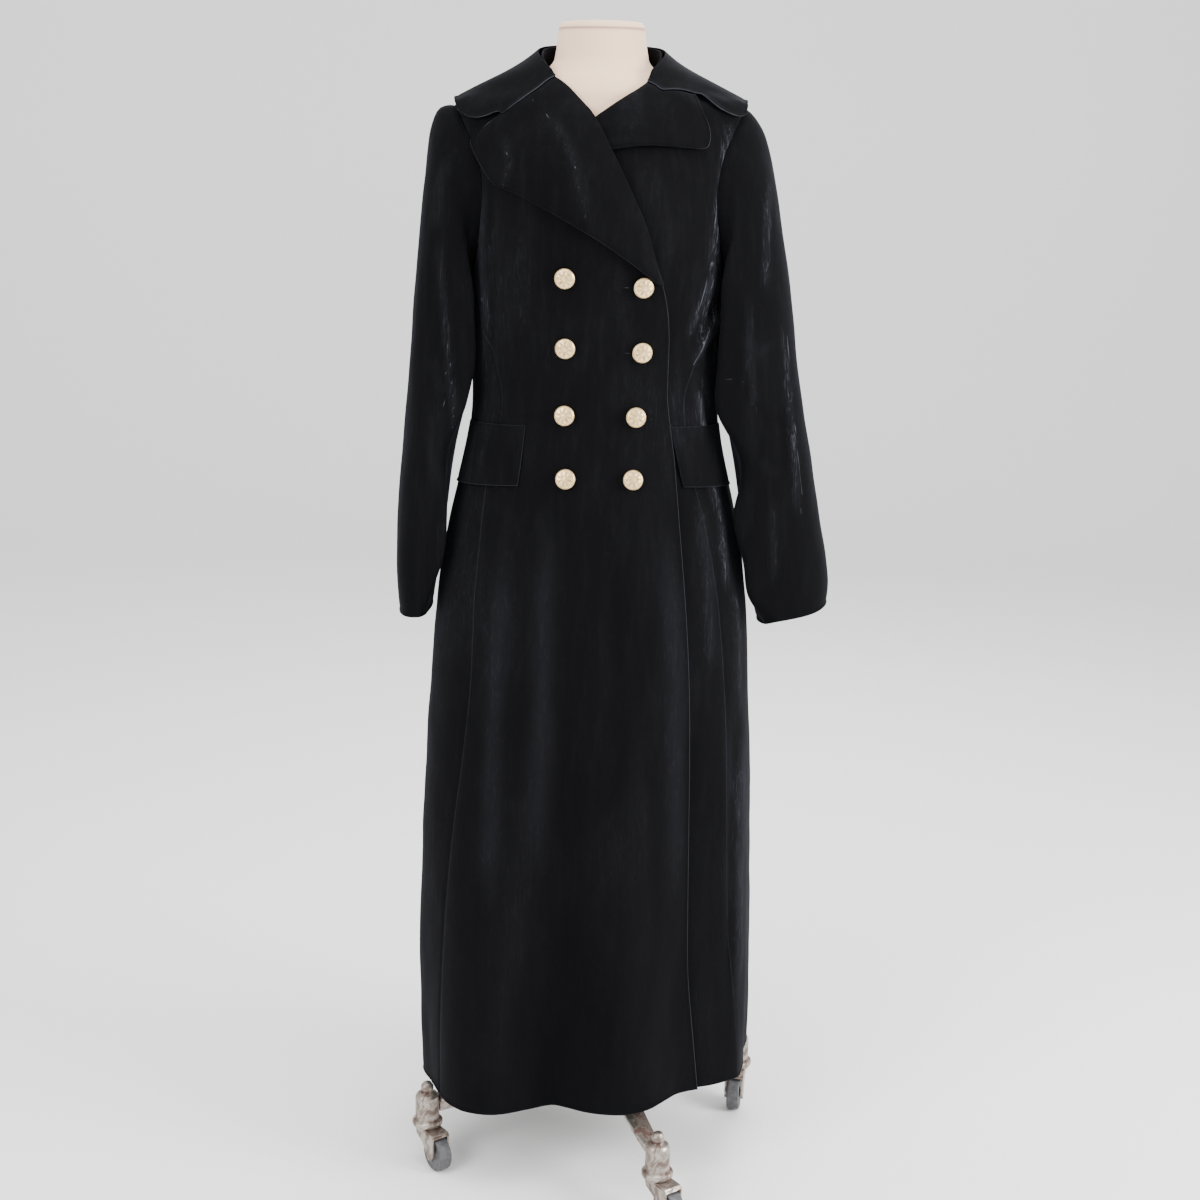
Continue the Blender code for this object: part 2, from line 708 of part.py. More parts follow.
def tube_ring(side, row, turns):
    """Oval ring of a sleeve between its inner and outer line."""
    inner = Vector((side * row.inner, row.depth, row.inner_height))
    outer = Vector((side * row.outer, row.depth, row.outer_height))
    centre = (inner + outer) * 0.5
    reach = (outer - inner) * 0.5
    deep = Vector((0.0, row.half_depth, 0.0))
    ring = []
    for turn in turns:
        front = max(math.sin(turn - SWING_LEAN), 0.0) ** 6
        swing = Vector((-side * row.swing * front, 0.0, 0.0))
        ring.append(centre + reach * math.cos(turn) - deep * math.sin(turn) + swing)
    return ring


def sleeve(name, side, table, side_columns):
    """Set-in sleeve: an open tube that starts at the armhole and turns down beside the body."""
    turns = armhole_turns(side_columns)
    step = Vector((side * TOUCH, 0.0, 0.0))

    def armhole_point(turn):
        angle, height = armhole_place(turn)
        return cloth_point(side * angle, height) + step

    top = armhole_point(0.0)
    foot = armhole_point(math.pi)
    half_depth = 0.5 * (ARM_FRONT + ARM_BACK)
    base = SleeveRow(abs(foot.x), foot.z, abs(top.x), top.z, ARM_CENTRE_DEPTH, half_depth, 0.0)
    first = [armhole_point(turn) for turn in turns]
    bends = [point - oval for point, oval in zip(first, tube_ring(side, base, turns))]
    grid = [first]
    for number, row in enumerate(table):
        keep = ARMHOLE_FADE[number] if number < len(ARMHOLE_FADE) else 0.0
        ring = tube_ring(side, row, turns)
        grid.append([point + bend * keep for point, bend in zip(ring, bends)])
    if side < 0:
        grid = [list(reversed(line)) for line in grid]
    return free_sheet(name, grid, closed=True)


def gorge_line(points, columns):
    """Evenly spaced places along a gorge seam."""
    lengths = [0.0]
    for before, after in zip(points, points[1:]):
        step = math.hypot(after.across - before.across, after.height - before.height)
        lengths.append(lengths[-1] + step)
    places = []
    for i in range(columns + 1):
        along = lengths[-1] * i / columns
        low = max(k for k in range(len(points) - 1) if lengths[k] <= along + 1e-9)
        share = (along - lengths[low]) / (lengths[low + 1] - lengths[low])
        across = mixed(points[low].across, points[low + 1].across, share)
        height = mixed(points[low].height, points[low + 1].height, share)
        places.append((across, height))
    return places


def puff(side, across, height, share):
    """Roundness of the turned-back cloth: none at the roll line or under the other front."""
    free = 1.0
    if side > 0:
        edge = read_row(RIGHT_FRONT_EDGE, height, "across")
        free = eased((across - edge) / LAPEL_FREE_WIDTH)
    return LAPEL_PUFF * free * math.sin(math.pi * 0.85 * share) ** 0.8


def lying_lift(side, across, height, share):
    """Lift of the outer face of what lies on a front panel."""
    below = overlap_lift(angle_at(across, height), height) if side < 0 else 0.0
    clearance = mixed(TOUCH, LIE, eased(share * 6.0))
    return below + clearance + WALL + puff(side, across, height, share)


def lapel_heights(table):
    """Heights of a lapel's rows on its roll line: the panel's own, and the table's first and last."""
    inside = [height for height in ROWS if table[0].height + 0.003 < height < table[-1].height - 0.003]
    return [table[0].height] + inside + [table[-1].height]


def lapel(name, side, table, edge_table, gorge):
    """Turned-back lapel, from the roll line out to its edge."""
    grid = []
    for roll_height in lapel_heights(table):
        if roll_height == table[-1].height:
            places = gorge_line(gorge, LAPEL_COLUMNS)
            places = [(across, height - TOUCH) for across, height in places]
        else:
            roll = read_row(edge_table, roll_height, "across")
            edge = read_row(table, roll_height, "across")
            edge_height = read_row(table, roll_height, "edge_height")
            places = []
            for i in range(LAPEL_COLUMNS + 1):
                share = i / LAPEL_COLUMNS
                places.append((mixed(roll, edge, share), mixed(roll_height, edge_height, share)))
        line = []
        for i, (across, height) in enumerate(places):
            lift = lying_lift(side, across, height, i / LAPEL_COLUMNS)
            line.append((angle_at(across, height), height, lift))
        grid.append(line)
    return body_panel(name, grid)


def collar_front_row(side, gorge, leaf):
    """First row of the collar: along the gorge, then along the leaf's free edge."""
    gorge_columns = COLLAR_COLUMNS - len(leaf)
    places = gorge_line(gorge, gorge_columns)
    places = [(across, height + TOUCH) for across, height in places]
    places += [(point.across, point.height) for point in leaf]
    line = []
    for i, (across, height) in enumerate(places):
        angle = angle_at(across, height)
        share = min(i / gorge_columns, 1.0)
        line.append(cloth_point(angle, height, lying_lift(side, across, height, share)))
    return line


def raised(point, need):
    """Move a point out until it stands at least that far off the body surface."""
    angle = math.degrees(math.atan2(point.x, -point.y))
    nearest = None
    for i in range(61):
        height = point.z - 0.045 + 0.0012 * i
        away = (body_point(angle, height) - point).length
        if nearest is None or away < nearest[0]:
            nearest = (away, height)
    normal = body_normal(angle, nearest[1])
    off = (point - body_point(angle, nearest[1])).dot(normal)
    return point + normal * max(need - off, 0.0)


def collar_row(side, row):
    """A row of the collar from the roll line out over the shoulder."""
    roll = cloth_point(side * row.roll_angle, row.roll_height, COLLAR_ROLL_GAP)
    edge = Vector((side * row.across, row.depth, row.height))
    line = [roll]
    for i in range(1, COLLAR_COLUMNS + 1):
        share = i / COLLAR_COLUMNS
        bow = Vector((0.0, 0.0, COLLAR_BOW * math.sin(math.pi * share)))
        need = mixed(COLLAR_ROLL_GAP, LIE + WALL, share) + COLLAR_BOW * math.sin(math.pi * share)
        line.append(raised(mixed(roll, edge, share) + bow, need))
    return line


def collar_half(side, gorge, leaf):
    """Rows of half the collar, from the gorge and leaf to the shoulder and round to the back."""
    front = collar_front_row(side, gorge, leaf)
    rows = [collar_row(side, row) for row in COLLAR_HALF]
    between = []
    for step in (1, 2):
        share = step / 3.0
        line = []
        for i, (low, high) in enumerate(zip(front, rows[0])):
            need = WALL + mixed(0.0010, LIE + 0.0010, min(i / 4.0, 1.0))
            line.append(raised(mixed(low, high, share), need))
        between.append(line)
    return [front] + between + rows


def collar(name):
    """Fall of the collar, from the left gorge round the back of the neck to the right gorge."""
    left = collar_half(1, LEFT_GORGE, LEFT_LEAF)
    right = collar_half(-1, RIGHT_GORGE, RIGHT_LEAF)
    grid = left + [collar_row(1, COLLAR_BACK)] + list(reversed(right))
    return free_sheet(name, grid)


def collar_stand(name):
    """Stand of the collar: an upright band round the back and sides of the neck."""
    steps = 16
    places = []
    half = COLLAR_HALF
    for i in range(steps + 1):
        angle = mixed(COLLAR_STAND_ANGLE, 360.0 - COLLAR_STAND_ANGLE, i / steps)
        near = angle if angle <= 180.0 else 360.0 - angle
        low = max([k for k in range(len(half) - 1) if half[k].roll_angle <= near])
        share = (near - half[low].roll_angle) / (half[low + 1].roll_angle - half[low].roll_angle)
        roll = mixed(half[low].roll_height, half[low + 1].roll_height, min(share, 1.0))
        signed = angle if angle <= 180.0 else angle - 360.0
        places.append([
            (signed, NECKLINE + TOUCH, 0.0),
            (signed, mixed(NECKLINE, roll, 0.5), 0.0),
            (signed, roll - 0.001, 0.0),
        ])
    return body_panel(name, places)


def flap(name, side, lift):
    """Pocket flap, from its inner end round towards the side."""
    columns = 6
    rows = 3
    places = []
    for j in range(rows + 1):
        line = []
        inner = FLAP_INNER
        if side > 0:
            middle = FLAP_TOP - FLAP_DROP * (1.0 - j / rows)
            inner = read_row(RIGHT_FRONT_EDGE, middle, "across") + FLAP_EDGE_GAP
        inner_angle = abs(angle_at(inner, FLAP_TOP - 0.5 * FLAP_DROP))
        for i in range(columns + 1):
            share = i / columns
            angle = side * mixed(inner_angle, FLAP_ANGLE, share)
            top = FLAP_TOP - 0.5 * FLAP_SAG * share
            bottom = FLAP_TOP - FLAP_DROP - FLAP_SAG * share
            height = mixed(bottom, top, j / rows)
            clearance = mixed(LIE, FLAP_SEAM_GAP, eased(3.0 * j / rows - 2.0))
            line.append((angle, height, lift(angle, height) + WALL + clearance))
        places.append(line)
    return body_panel(name, places)


def turned_mesh(name, profile, sides, hollow=False):
    """Turned body from (radius, height) rows, bottom to top; a hollow one closes on itself."""
    bm = bmesh.new()
    rings = []
    for radius, height in profile:
        ring = []
        for i in range(sides):
            turn = 2.0 * math.pi * (i + 0.5) / sides
            ring.append(bm.verts.new((radius * math.cos(turn), radius * math.sin(turn), height)))
        rings.append(ring)
    pairs = list(zip(rings, rings[1:]))
    if hollow:
        pairs.append((rings[-1], rings[0]))
    for lower, upper in pairs:
        for i in range(sides):
            k = (i + 1) % sides
            bm.faces.new((lower[i], lower[k], upper[k], upper[i]))
    if not hollow:
        bm.faces.new(list(reversed(rings[0])))
        bm.faces.new(rings[-1])
    bmesh.ops.recalc_face_normals(bm, faces=bm.faces)
    mesh = bpy.data.meshes.new(name)
    bm.to_mesh(mesh)
    bm.free()
    return mesh


def buttons():
    """Eight domed buttons, each on a short shank that stands on the overlapping front."""
    number = 1
    for row in BUTTONS:
        for across, height in ((row.right_column, row.height), (row.left_column, row.left_height)):
            name = "button_%d" % number
            mesh = turned_mesh(name, BUTTON_PROFILE, BUTTON_SIDES)
            angle = angle_at(across, height)
            item = add_object(name, mesh, "antique_gold", 50)
            item.location = cloth_point(angle, height, overlap_lift(angle, height))
            item.rotation_euler = body_normal(angle, height).to_track_quat("Z", "Y").to_euler()
            number += 1


def form_ring(height):
    """Ring of the dress form at a height, inside the coat or clear of it at the neck."""
    clearance = read_row(FORM_CLEARANCE, height, "clearance") + WALL
    shoulder = eased((height - 1.395) / 0.006) * (1.0 - eased((height - 1.414) / 0.008))
    points = []
    for i in range(FORM_SIDES):
        angle = 360.0 * i / FORM_SIDES
        signed = angle if angle <= 180.0 else angle - 360.0
        near_ridge = max(0.0, 1.0 - abs(abs(signed) - 90.0) / 15.0)
        gap = mixed(clearance, WALL + SHOULDER_CONTACT, near_ridge * shoulder)
        turn = math.radians(signed)
        slope = body_normal(signed, height)
        flat = math.hypot(slope.x, slope.y)
        radius = ring_radius(signed, height) - gap / max(flat, 0.25)
        points.append(Vector((radius * math.sin(turn), -radius * math.cos(turn), height)))
    return points


def dress_form():
    """Limbless form: one closed loft from the hips to a domed neck."""
    heights = [FORM_BOTTOM, 0.850, 0.895, 0.935, 0.975, 1.010, 1.045, 1.085, 1.125, 1.180, 1.240]
    heights += [1.300, 1.342, 1.370, 1.393, 1.403, 1.413, 1.425, 1.436, 1.452, 1.480]
    rings = [form_ring(height) for height in heights]
    top = rings[-1]
    for share, rise in ((0.93, 0.75), (0.80, 0.95), (0.45, 1.0)):
        height = mixed(1.480, NECK_TOP, rise)
        rings.append([Vector((p.x * share, p.y * share, height)) for p in top])
    bm = bmesh.new()
    loops = [[bm.verts.new(point) for point in ring] for ring in rings]
    for lower, upper in zip(loops, loops[1:]):
        for i in range(FORM_SIDES):
            k = (i + 1) % FORM_SIDES
            bm.faces.new((lower[i], lower[k], upper[k], upper[i]))
    bm.faces.new(list(reversed(loops[0])))
    bm.faces.new(loops[-1])
    bmesh.ops.recalc_face_normals(bm, faces=bm.faces)
    mesh = bpy.data.meshes.new("dress_form")
    bm.to_mesh(mesh)
    bm.free()
    return add_object("dress_form", mesh, "linen", 50)


def caster_places():
    """Name and place of each caster's swivel axis, and the direction of its leg."""
    places = []
    for name, quarter in (("front", 0), ("left", 1), ("back", 2), ("right", 3)):
        turn = math.radians(-90.0 + CASTER_TURN + 90.0 * quarter)
        direction = Vector((math.cos(turn), math.sin(turn), 0.0))
        places.append((name, direction * CASTER_REACH, direction))
    return places


def leg_mesh(name):
    """Cast leg of T section along +X, arched from the hub down to the caster's socket."""
    bm = bmesh.new()
    rings = []
    for row in LEG_ROWS:
        under = row.top - LEG_FLANGE
        foot = row.top - row.deep
        half = row.half_width
        section = (
            (half, row.top), (-half, row.top), (-half, under), (-LEG_WEB, under),
            (-LEG_WEB, foot), (LEG_WEB, foot), (LEG_WEB, under), (half, under),
        )
        rings.append([bm.verts.new((row.along, across, height)) for across, height in section])
    for near, far in zip(rings, rings[1:]):
        for i in range(len(near)):
            k = (i + 1) % len(near)
            bm.faces.new((near[i], near[k], far[k], far[i]))
    bm.faces.new(rings[0])
    bm.faces.new(list(reversed(rings[-1])))
    bmesh.ops.recalc_face_normals(bm, faces=bm.faces)
    mesh = bpy.data.meshes.new(name)
    bm.to_mesh(mesh)
    bm.free()
    return mesh


def plate_mesh(name, outline, low, high):
    """Flat plate: an outline in X and Z, from one Y to another."""
    bm = bmesh.new()
    near = [bm.verts.new((x, low, z)) for x, z in outline]
    far = [bm.verts.new((x, high, z)) for x, z in outline]
    bm.faces.new(near)
    bm.faces.new(list(reversed(far)))
    for i in range(len(outline)):
        k = (i + 1) % len(outline)
        bm.faces.new((near[i], far[i], far[k], near[k]))
    bmesh.ops.recalc_face_normals(bm, faces=bm.faces)
    mesh = bpy.data.meshes.new(name)
    bm.to_mesh(mesh)
    bm.free()
    return mesh


def join_solids(name, meshes):
    """Union of closed meshes, worked out once and returned as one mesh."""
    items = []
    for number, mesh in enumerate(meshes):
        item = bpy.data.objects.new("%s_piece_%d" % (name, number), mesh)
        bpy.context.scene.collection.objects.link(item)
        items.append(item)
    for item in items[1:]:
        union = items[0].modifiers.new("union", "BOOLEAN")
        union.operation = "UNION"
        union.solver = "EXACT"
        union.object = item
    graph = bpy.context.evaluated_depsgraph_get()
    joined = bpy.data.meshes.new_from_object(items[0].evaluated_get(graph))
    joined.name = name
    for item in items:
        bpy.data.objects.remove(item, do_unlink=True)
    return joined


def fork_mesh():
    """Caster fork: crown under the socket, a cheek each side of the wheel, and the axle."""
    top = SOCKET_FOOT - SEAM
    under = WHEEL_RADIUS * 2.0 + 0.0016
    axle = WHEEL_RADIUS
    half = FORK_INNER * 0.5 + FORK_WALL
    crown = turned_mesh("crown", ((0.0165, under + 0.0008), (0.0175, top)), 16)
    roof = top - 0.0008
    hood_outline = ((0.0, under), (TRAIL + 0.010, under), (TRAIL + 0.006, roof), (0.0, roof))
    hood = plate_mesh("hood", hood_outline, -half + 0.0006, half - 0.0006)
    cheek_outline = [
        (-0.010, under + 0.002), (-0.006, under - 0.008), (0.010, axle + 0.010),
        (TRAIL - 0.008, axle - 0.004), (TRAIL - 0.003, axle - 0.0085), (TRAIL + 0.004, axle - 0.008),
        (TRAIL + 0.009, axle), (TRAIL + 0.0085, under + 0.002),
    ]
    near = plate_mesh("cheek_near", cheek_outline, -half, -half + FORK_WALL)
    far = plate_mesh("cheek_far", cheek_outline, half - FORK_WALL, half)
    pin = turned_mesh("pin", ((AXLE_RADIUS, -half + 0.0012), (AXLE_RADIUS, half - 0.0012)), 12)
    pin.transform(Matrix.Translation((TRAIL, 0.0, axle)) @ Matrix.Rotation(math.radians(90.0), 4, "X"))
    return join_solids("fork", [crown, hood, near, far, pin])


def wheel_mesh():
    """Caster wheel with a rounded tread and raised hub faces, its axis along Z."""
    half = WHEEL_WIDTH * 0.5
    face = half - WHEEL_RECESS
    profile = (
        (BORE_RADIUS, -half), (0.0075, -half), (0.0085, -face), (0.0195, -face), (0.0225, -half),
        (WHEEL_RADIUS, -half + 0.002), (WHEEL_RADIUS, half - 0.002),
        (0.0225, half), (0.0195, face), (0.0085, face), (0.0075, half), (BORE_RADIUS, half),
    )
    return turned_mesh("wheel", profile, WHEEL_SIDES, hollow=True)


def stand():
    """Pole, hub, four legs, and a socket, fork and wheel for each caster."""
    pole_profile = ((POLE_RADIUS, HUB_TOP + SEAM), (POLE_RADIUS, FORM_BOTTOM - SEAM))
    add_object("pole", turned_mesh("pole", pole_profile, TURNED_SIDES), "cast_metal")
    add_object("hub", turned_mesh("hub", HUB_PROFILE, TURNED_SIDES), "cast_metal")
    fork = fork_mesh()
    wheel_half_turn = math.pi / WHEEL_SIDES
    wheel_height = WHEEL_RADIUS * math.cos(wheel_half_turn)
    for name, place, direction in caster_places():
        trail_turn = math.radians(TRAIL_DIRECTIONS[name])
        trail = Vector((math.cos(trail_turn), math.sin(trail_turn), 0.0)) * TRAIL
        leg = add_object("leg_" + name, leg_mesh("leg_" + name), "cast_metal", 30)
        leg.rotation_euler = (0.0, 0.0, math.atan2(direction.y, direction.x))
        socket_mesh = turned_mesh("socket_" + name, SOCKET_PROFILE, TURNED_SIDES)
        socket = add_object("socket_" + name, socket_mesh, "cast_metal")
        socket.location = place
        fork_item = add_object("fork_" + name, fork.copy(), "cast_metal", 30)
        fork_item.location = place + Vector((0.0, 0.0, wheel_height - WHEEL_RADIUS))
        fork_item.rotation_euler = (0.0, 0.0, trail_turn)
        wheel = add_object("wheel_" + name, wheel_mesh(), "wheel_grey", 30)
        wheel.location = place + trail + Vector((0.0, 0.0, wheel_height))
        wheel.rotation_euler = (math.radians(90.0), 0.0, trail_turn)


def coat():
    """All the cut pieces of the coat."""
    side_columns = 6
    front_panel("front_right", -1, 13, RIGHT_FRONT_EDGE, overlap_lift)
    front_panel("front_left", 1, 9, LEFT_FRONT_EDGE, no_lift)
    side_panel("side_right", -1, side_columns)
    side_panel("side_left", 1, side_columns)
    back_panel("back_right", -1, 7)
    back_panel("back_left", 1, 7)
    sleeve("sleeve_right", -1, SLEEVE_RIGHT, side_columns)
    sleeve("sleeve_left", 1, SLEEVE_LEFT, side_columns)
    lapel("lapel_right", -1, RIGHT_LAPEL, RIGHT_FRONT_EDGE, RIGHT_GORGE)
    lapel("lapel_left", 1, LEFT_LAPEL, LEFT_FRONT_EDGE, LEFT_GORGE)
    collar("collar")
    collar_stand("collar_stand")
    flap("flap_right", -1, overlap_lift)
    flap("flap_left", 1, no_lift)
    buttons()


def centre_on_floor():
    """Move every object so that the middle of the whole stands over the origin."""
    bpy.context.view_layer.update()
    points = [item.matrix_world @ vertex.co for item in bpy.data.objects for vertex in item.data.vertices]
    across = [point.x for point in points]
    along = [point.y for point in points]
    middle = Vector((0.5 * (min(across) + max(across)), 0.5 * (min(along) + max(along)), 0.0))
    for item in bpy.data.objects:
        item.location -= middle


clear_scene()
coat()
dress_form()
stand()
centre_on_floor()
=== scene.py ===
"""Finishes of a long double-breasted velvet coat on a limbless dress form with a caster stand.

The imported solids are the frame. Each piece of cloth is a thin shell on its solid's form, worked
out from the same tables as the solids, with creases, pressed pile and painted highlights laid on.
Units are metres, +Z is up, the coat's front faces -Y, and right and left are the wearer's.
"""
import math
from collections import namedtuple

import bmesh
import bpy
import numpy as np
from bpy.props import FloatProperty, FloatVectorProperty, PointerProperty
from mathutils import Matrix, Vector, noise


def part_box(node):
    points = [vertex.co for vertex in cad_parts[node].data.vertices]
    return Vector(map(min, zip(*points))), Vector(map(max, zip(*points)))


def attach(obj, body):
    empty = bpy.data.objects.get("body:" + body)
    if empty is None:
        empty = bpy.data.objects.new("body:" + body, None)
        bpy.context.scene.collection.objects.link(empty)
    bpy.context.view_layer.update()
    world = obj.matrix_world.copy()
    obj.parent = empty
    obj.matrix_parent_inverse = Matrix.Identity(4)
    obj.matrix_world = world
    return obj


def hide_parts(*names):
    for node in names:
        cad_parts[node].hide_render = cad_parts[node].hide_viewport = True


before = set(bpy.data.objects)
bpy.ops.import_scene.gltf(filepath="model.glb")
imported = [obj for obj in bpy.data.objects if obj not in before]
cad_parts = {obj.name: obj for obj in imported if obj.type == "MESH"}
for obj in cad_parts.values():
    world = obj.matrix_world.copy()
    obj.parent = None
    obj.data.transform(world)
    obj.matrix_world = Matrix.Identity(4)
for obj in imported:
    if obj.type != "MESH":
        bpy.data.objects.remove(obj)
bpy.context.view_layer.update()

bl_info = {
    "name": "Velvet Coat Finishes",
    "version": (1, 0, 0),
    "blender": (4, 5, 0),
    "location": "View3D > Sidebar > Coat",
    "description": "Builds the cloth, buttons, dress form and stand of a velvet coat",
    "category": "Object",
}

ROOT_BODY = "coat_and_stand"
POLE_LOW, POLE_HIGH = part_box("pole")
MIDDLE = Vector((0.5 * (POLE_LOW.x + POLE_HIGH.x), 0.5 * (POLE_LOW.y + POLE_HIGH.y), 0.0))


def table(kind, *rows):
    """Rows of a table whose columns have names."""
    return tuple(kind(*row) for row in rows)


# Cloth: wall, gap at seams, gap under what lies on a panel, and the least gap anywhere
WALL = 0.002
SEAM = 0.0003
LIE = 0.0024
TOUCH = 0.0005
SLEEVE_STEP = 0.0002
TOLERANCE = 0.0001

# Heights above the floor
HEM = 0.120
WAIST = 1.040
NECKLINE = 1.436
SHOULDER_POINT = 1.393
HEM_TILT = 0.060
HEM_TILT_TOP = 0.38

# Body surface, half-widths to each side and depths to front and back at each height
Ring = namedtuple("Ring", "height right left front back corner")
BODY_RINGS = table(
    Ring,
    (0.060, 0.2260, 0.2130, 0.168, 0.176, 2.8),
    (0.120, 0.2290, 0.2140, 0.168, 0.175, 2.8),
    (0.250, 0.2325, 0.2145, 0.165, 0.172, 2.7),
    (0.400, 0.2290, 0.2142, 0.158, 0.165, 2.6),
    (0.550, 0.2225, 0.2105, 0.150, 0.158, 2.5),
    (0.700, 0.2120, 0.2035, 0.140, 0.150, 2.4),
    (0.800, 0.2020, 0.1955, 0.132, 0.143, 2.4),
    (0.870, 0.1900, 0.1840, 0.124, 0.135, 2.3),
    (0.930, 0.1765, 0.1700, 0.115, 0.122, 2.3),
    (0.985, 0.1640, 0.1577, 0.106, 0.104, 2.3),
    (1.040, 0.1590, 0.1545, 0.102, 0.092, 2.3),
    (1.110, 0.1590, 0.1555, 0.108, 0.093, 2.3),
    (1.180, 0.1600, 0.1580, 0.120, 0.102, 2.2),
    (1.240, 0.1630, 0.1620, 0.127, 0.110, 2.2),
    (1.300, 0.1680, 0.1670, 0.121, 0.114, 2.2),
    (1.340, 0.1740, 0.1730, 0.109, 0.112, 2.2),
    (1.370, 0.1820, 0.1810, 0.096, 0.104, 2.1),
    (1.393, 0.1800, 0.1800, 0.085, 0.094, 2.0),
    (1.402, 0.1600, 0.1600, 0.081, 0.089, 1.9),
    (1.412, 0.1320, 0.1320, 0.077, 0.083, 1.9),
    (1.424, 0.1040, 0.1040, 0.072, 0.077, 1.9),
    (1.436, 0.0840, 0.0840, 0.067, 0.072, 2.0),
    (1.452, 0.0740, 0.0740, 0.064, 0.069, 2.0),
    (1.480, 0.0715, 0.0715, 0.062, 0.067, 2.0),
)

# Upright folds of the skirt, as angles from centre front towards the wearer's left
Fold = namedtuple("Fold", "angle spread depth top")
SKIRT_FOLDS = table(
    Fold,
    (-43, 20, 0.020, 0.80),
    (-18, 19, -0.023, 0.86),
    (14, 18, 0.014, 0.90),
    (44, 21, -0.026, 0.82),
    (66, 13, 0.006, 0.60),
    (-70, 14, -0.008, 0.55),
    (98, 16, 0.010, 0.70),
    (120, 14, -0.016, 0.80),
    (143, 16, 0.018, 0.86),
    (166, 14, -0.015, 0.78),
    (-170, 16, 0.016, 0.84),
    (-146, 15, -0.018, 0.80),
    (-122, 15, 0.015, 0.76),
    (-98, 14, -0.010, 0.66),
)

# Heights of the rows of points, hem to neckline
ROWS = (
    0.120, 0.200, 0.300, 0.400, 0.500, 0.590, 0.670, 0.740, 0.800, 0.850, 0.895, 0.935,
    0.975, 1.010, 1.045, 1.085, 1.125, 1.165, 1.200, 1.230, 1.260, 1.290, 1.318, 1.342,
    1.364, 1.380, 1.393, 1.403, 1.413, 1.425, 1.436,
)

# Side-front and side-back seams, as angles at each height
SeamRow = namedtuple("SeamRow", "height front_right front_left back")
SEAMS = table(
    SeamRow,
    (0.06, -61.0, 66.0, 122.0),
    (0.40, -59.0, 60.0, 121.0),
    (0.65, -55.0, 61.0, 120.0),
    (0.86, -58.0, 58.0, 119.0),
    (0.93, -60.0, 56.0, 118.0),
    (1.04, -57.0, 54.0, 117.0),
    (1.20, -58.0, 58.0, 116.0),
    (1.50, -58.0, 58.0, 116.0),
)

# Armhole: an upright oval seen from the side
ARM_CENTRE_HEIGHT = 1.2865
ARM_HALF_HEIGHT = 0.1065
ARM_CENTRE_DEPTH = 0.004
ARM_FRONT = 0.070
ARM_BACK = 0.074
ARM_SEAM_HEIGHT = 1.200

# Edge of the overlapping front, sideways place at each height
EdgeRow = namedtuple("EdgeRow", "height across")
RIGHT_FRONT_EDGE = table(
    EdgeRow,
    (0.060, 0.1640),
    (0.150, 0.1600),
    (0.265, 0.1455),
    (0.470, 0.1330),
    (0.673, 0.1220),
    (0.922, 0.0995),
    (0.984, 0.0931),
    (1.046, 0.0850),
    (1.131, 0.0848),
    (1.178, 0.0777),
    (1.215, 0.0662),
    (1.250, 0.0557),
    (1.283, 0.0408),
    (1.337, 0.0137),
    (1.377, -0.0083),
    (1.414, -0.0388),
    (1.425, -0.0538),
    (1.440, -0.0680),
)
LEFT_FRONT_EDGE = table(
    EdgeRow,
    (0.060, -0.0750),
    (1.200, -0.0740),
    (1.300, -0.0700),
    (1.335, -0.0520),
    (1.377, -0.0083),
    (1.402, 0.0270),
    (1.420, 0.0540),
    (1.440, 0.0680),
)

# Lift of the overlapping front over what lies under it
OVERLAP_LIFT = 0.0062
CROSSING_LIFT = 0.0100
LIFT_START = 0.070
LIFT_FULL = 0.012
CROSSING_START = 1.25
CROSSING_RISE = 0.06
LIFT_TOP = 1.377
LIFT_TOP_FADE = 0.035

# Lapels: the outer edge across and up for each height of the roll line, break point first
LapelRow = namedtuple("LapelRow", "height across edge_height")
RIGHT_LAPEL = table(
    LapelRow,
    (1.186, 0.0655, 1.1885),
    (1.200, 0.0500, 1.2020),
    (1.230, 0.0050, 1.2335),
    (1.260, -0.0500, 1.2640),
    (1.290, -0.0960, 1.2885),
    (1.318, -0.1230, 1.3000),
    (1.342, -0.1390, 1.3200),
    (1.364, -0.1475, 1.3352),
    (1.393, -0.1521, 1.3494),
    (1.413, -0.1378, 1.3646),
    (1.425, -0.1152, 1.3764),
)
LEFT_LAPEL = table(
    LapelRow,
    (1.343, -0.0250, 1.3330),
    (1.353, 0.0150, 1.3390),
    (1.366, 0.0640, 1.3450),
    (1.380, 0.1030, 1.3430),
    (1.391, 0.1240, 1.3440),
    (1.402, 0.1285, 1.3600),
    (1.410, 0.1200, 1.3850),
    (1.420, 0.1120, 1.4000),
)
LAPEL_PUFF = 0.0050
LAPEL_COLUMNS = 6
LAPEL_FREE_WIDTH = 0.04
ROW_CLEAR = 0.003

# Gorge seams between collar and lapel, from the roll line out to the notch
GorgePoint = namedtuple("GorgePoint", "across height")
RIGHT_GORGE = table(
    GorgePoint,
    (-0.0538, 1.4253),
    (-0.0773, 1.4030),
    (-0.0962, 1.3915),
    (-0.1152, 1.3790),
)
LEFT_GORGE = table(
    GorgePoint,
    (0.0540, 1.4200),
    (0.0700, 1.4070),
    (0.0900, 1.4060),
    (0.1120, 1.4030),
)

# Free lower edge of each collar leaf, from the notch out to the tip
RIGHT_LEAF = table(
    GorgePoint,
    (-0.1215, 1.3814),
    (-0.1396, 1.3753),
    (-0.1564, 1.3762),
    (-0.1690, 1.3850),
)
LEFT_LEAF = table(
    GorgePoint,
    (0.1200, 1.4020),
    (0.1400, 1.3890),
    (0.1620, 1.3810),
    (0.1720, 1.3850),
)

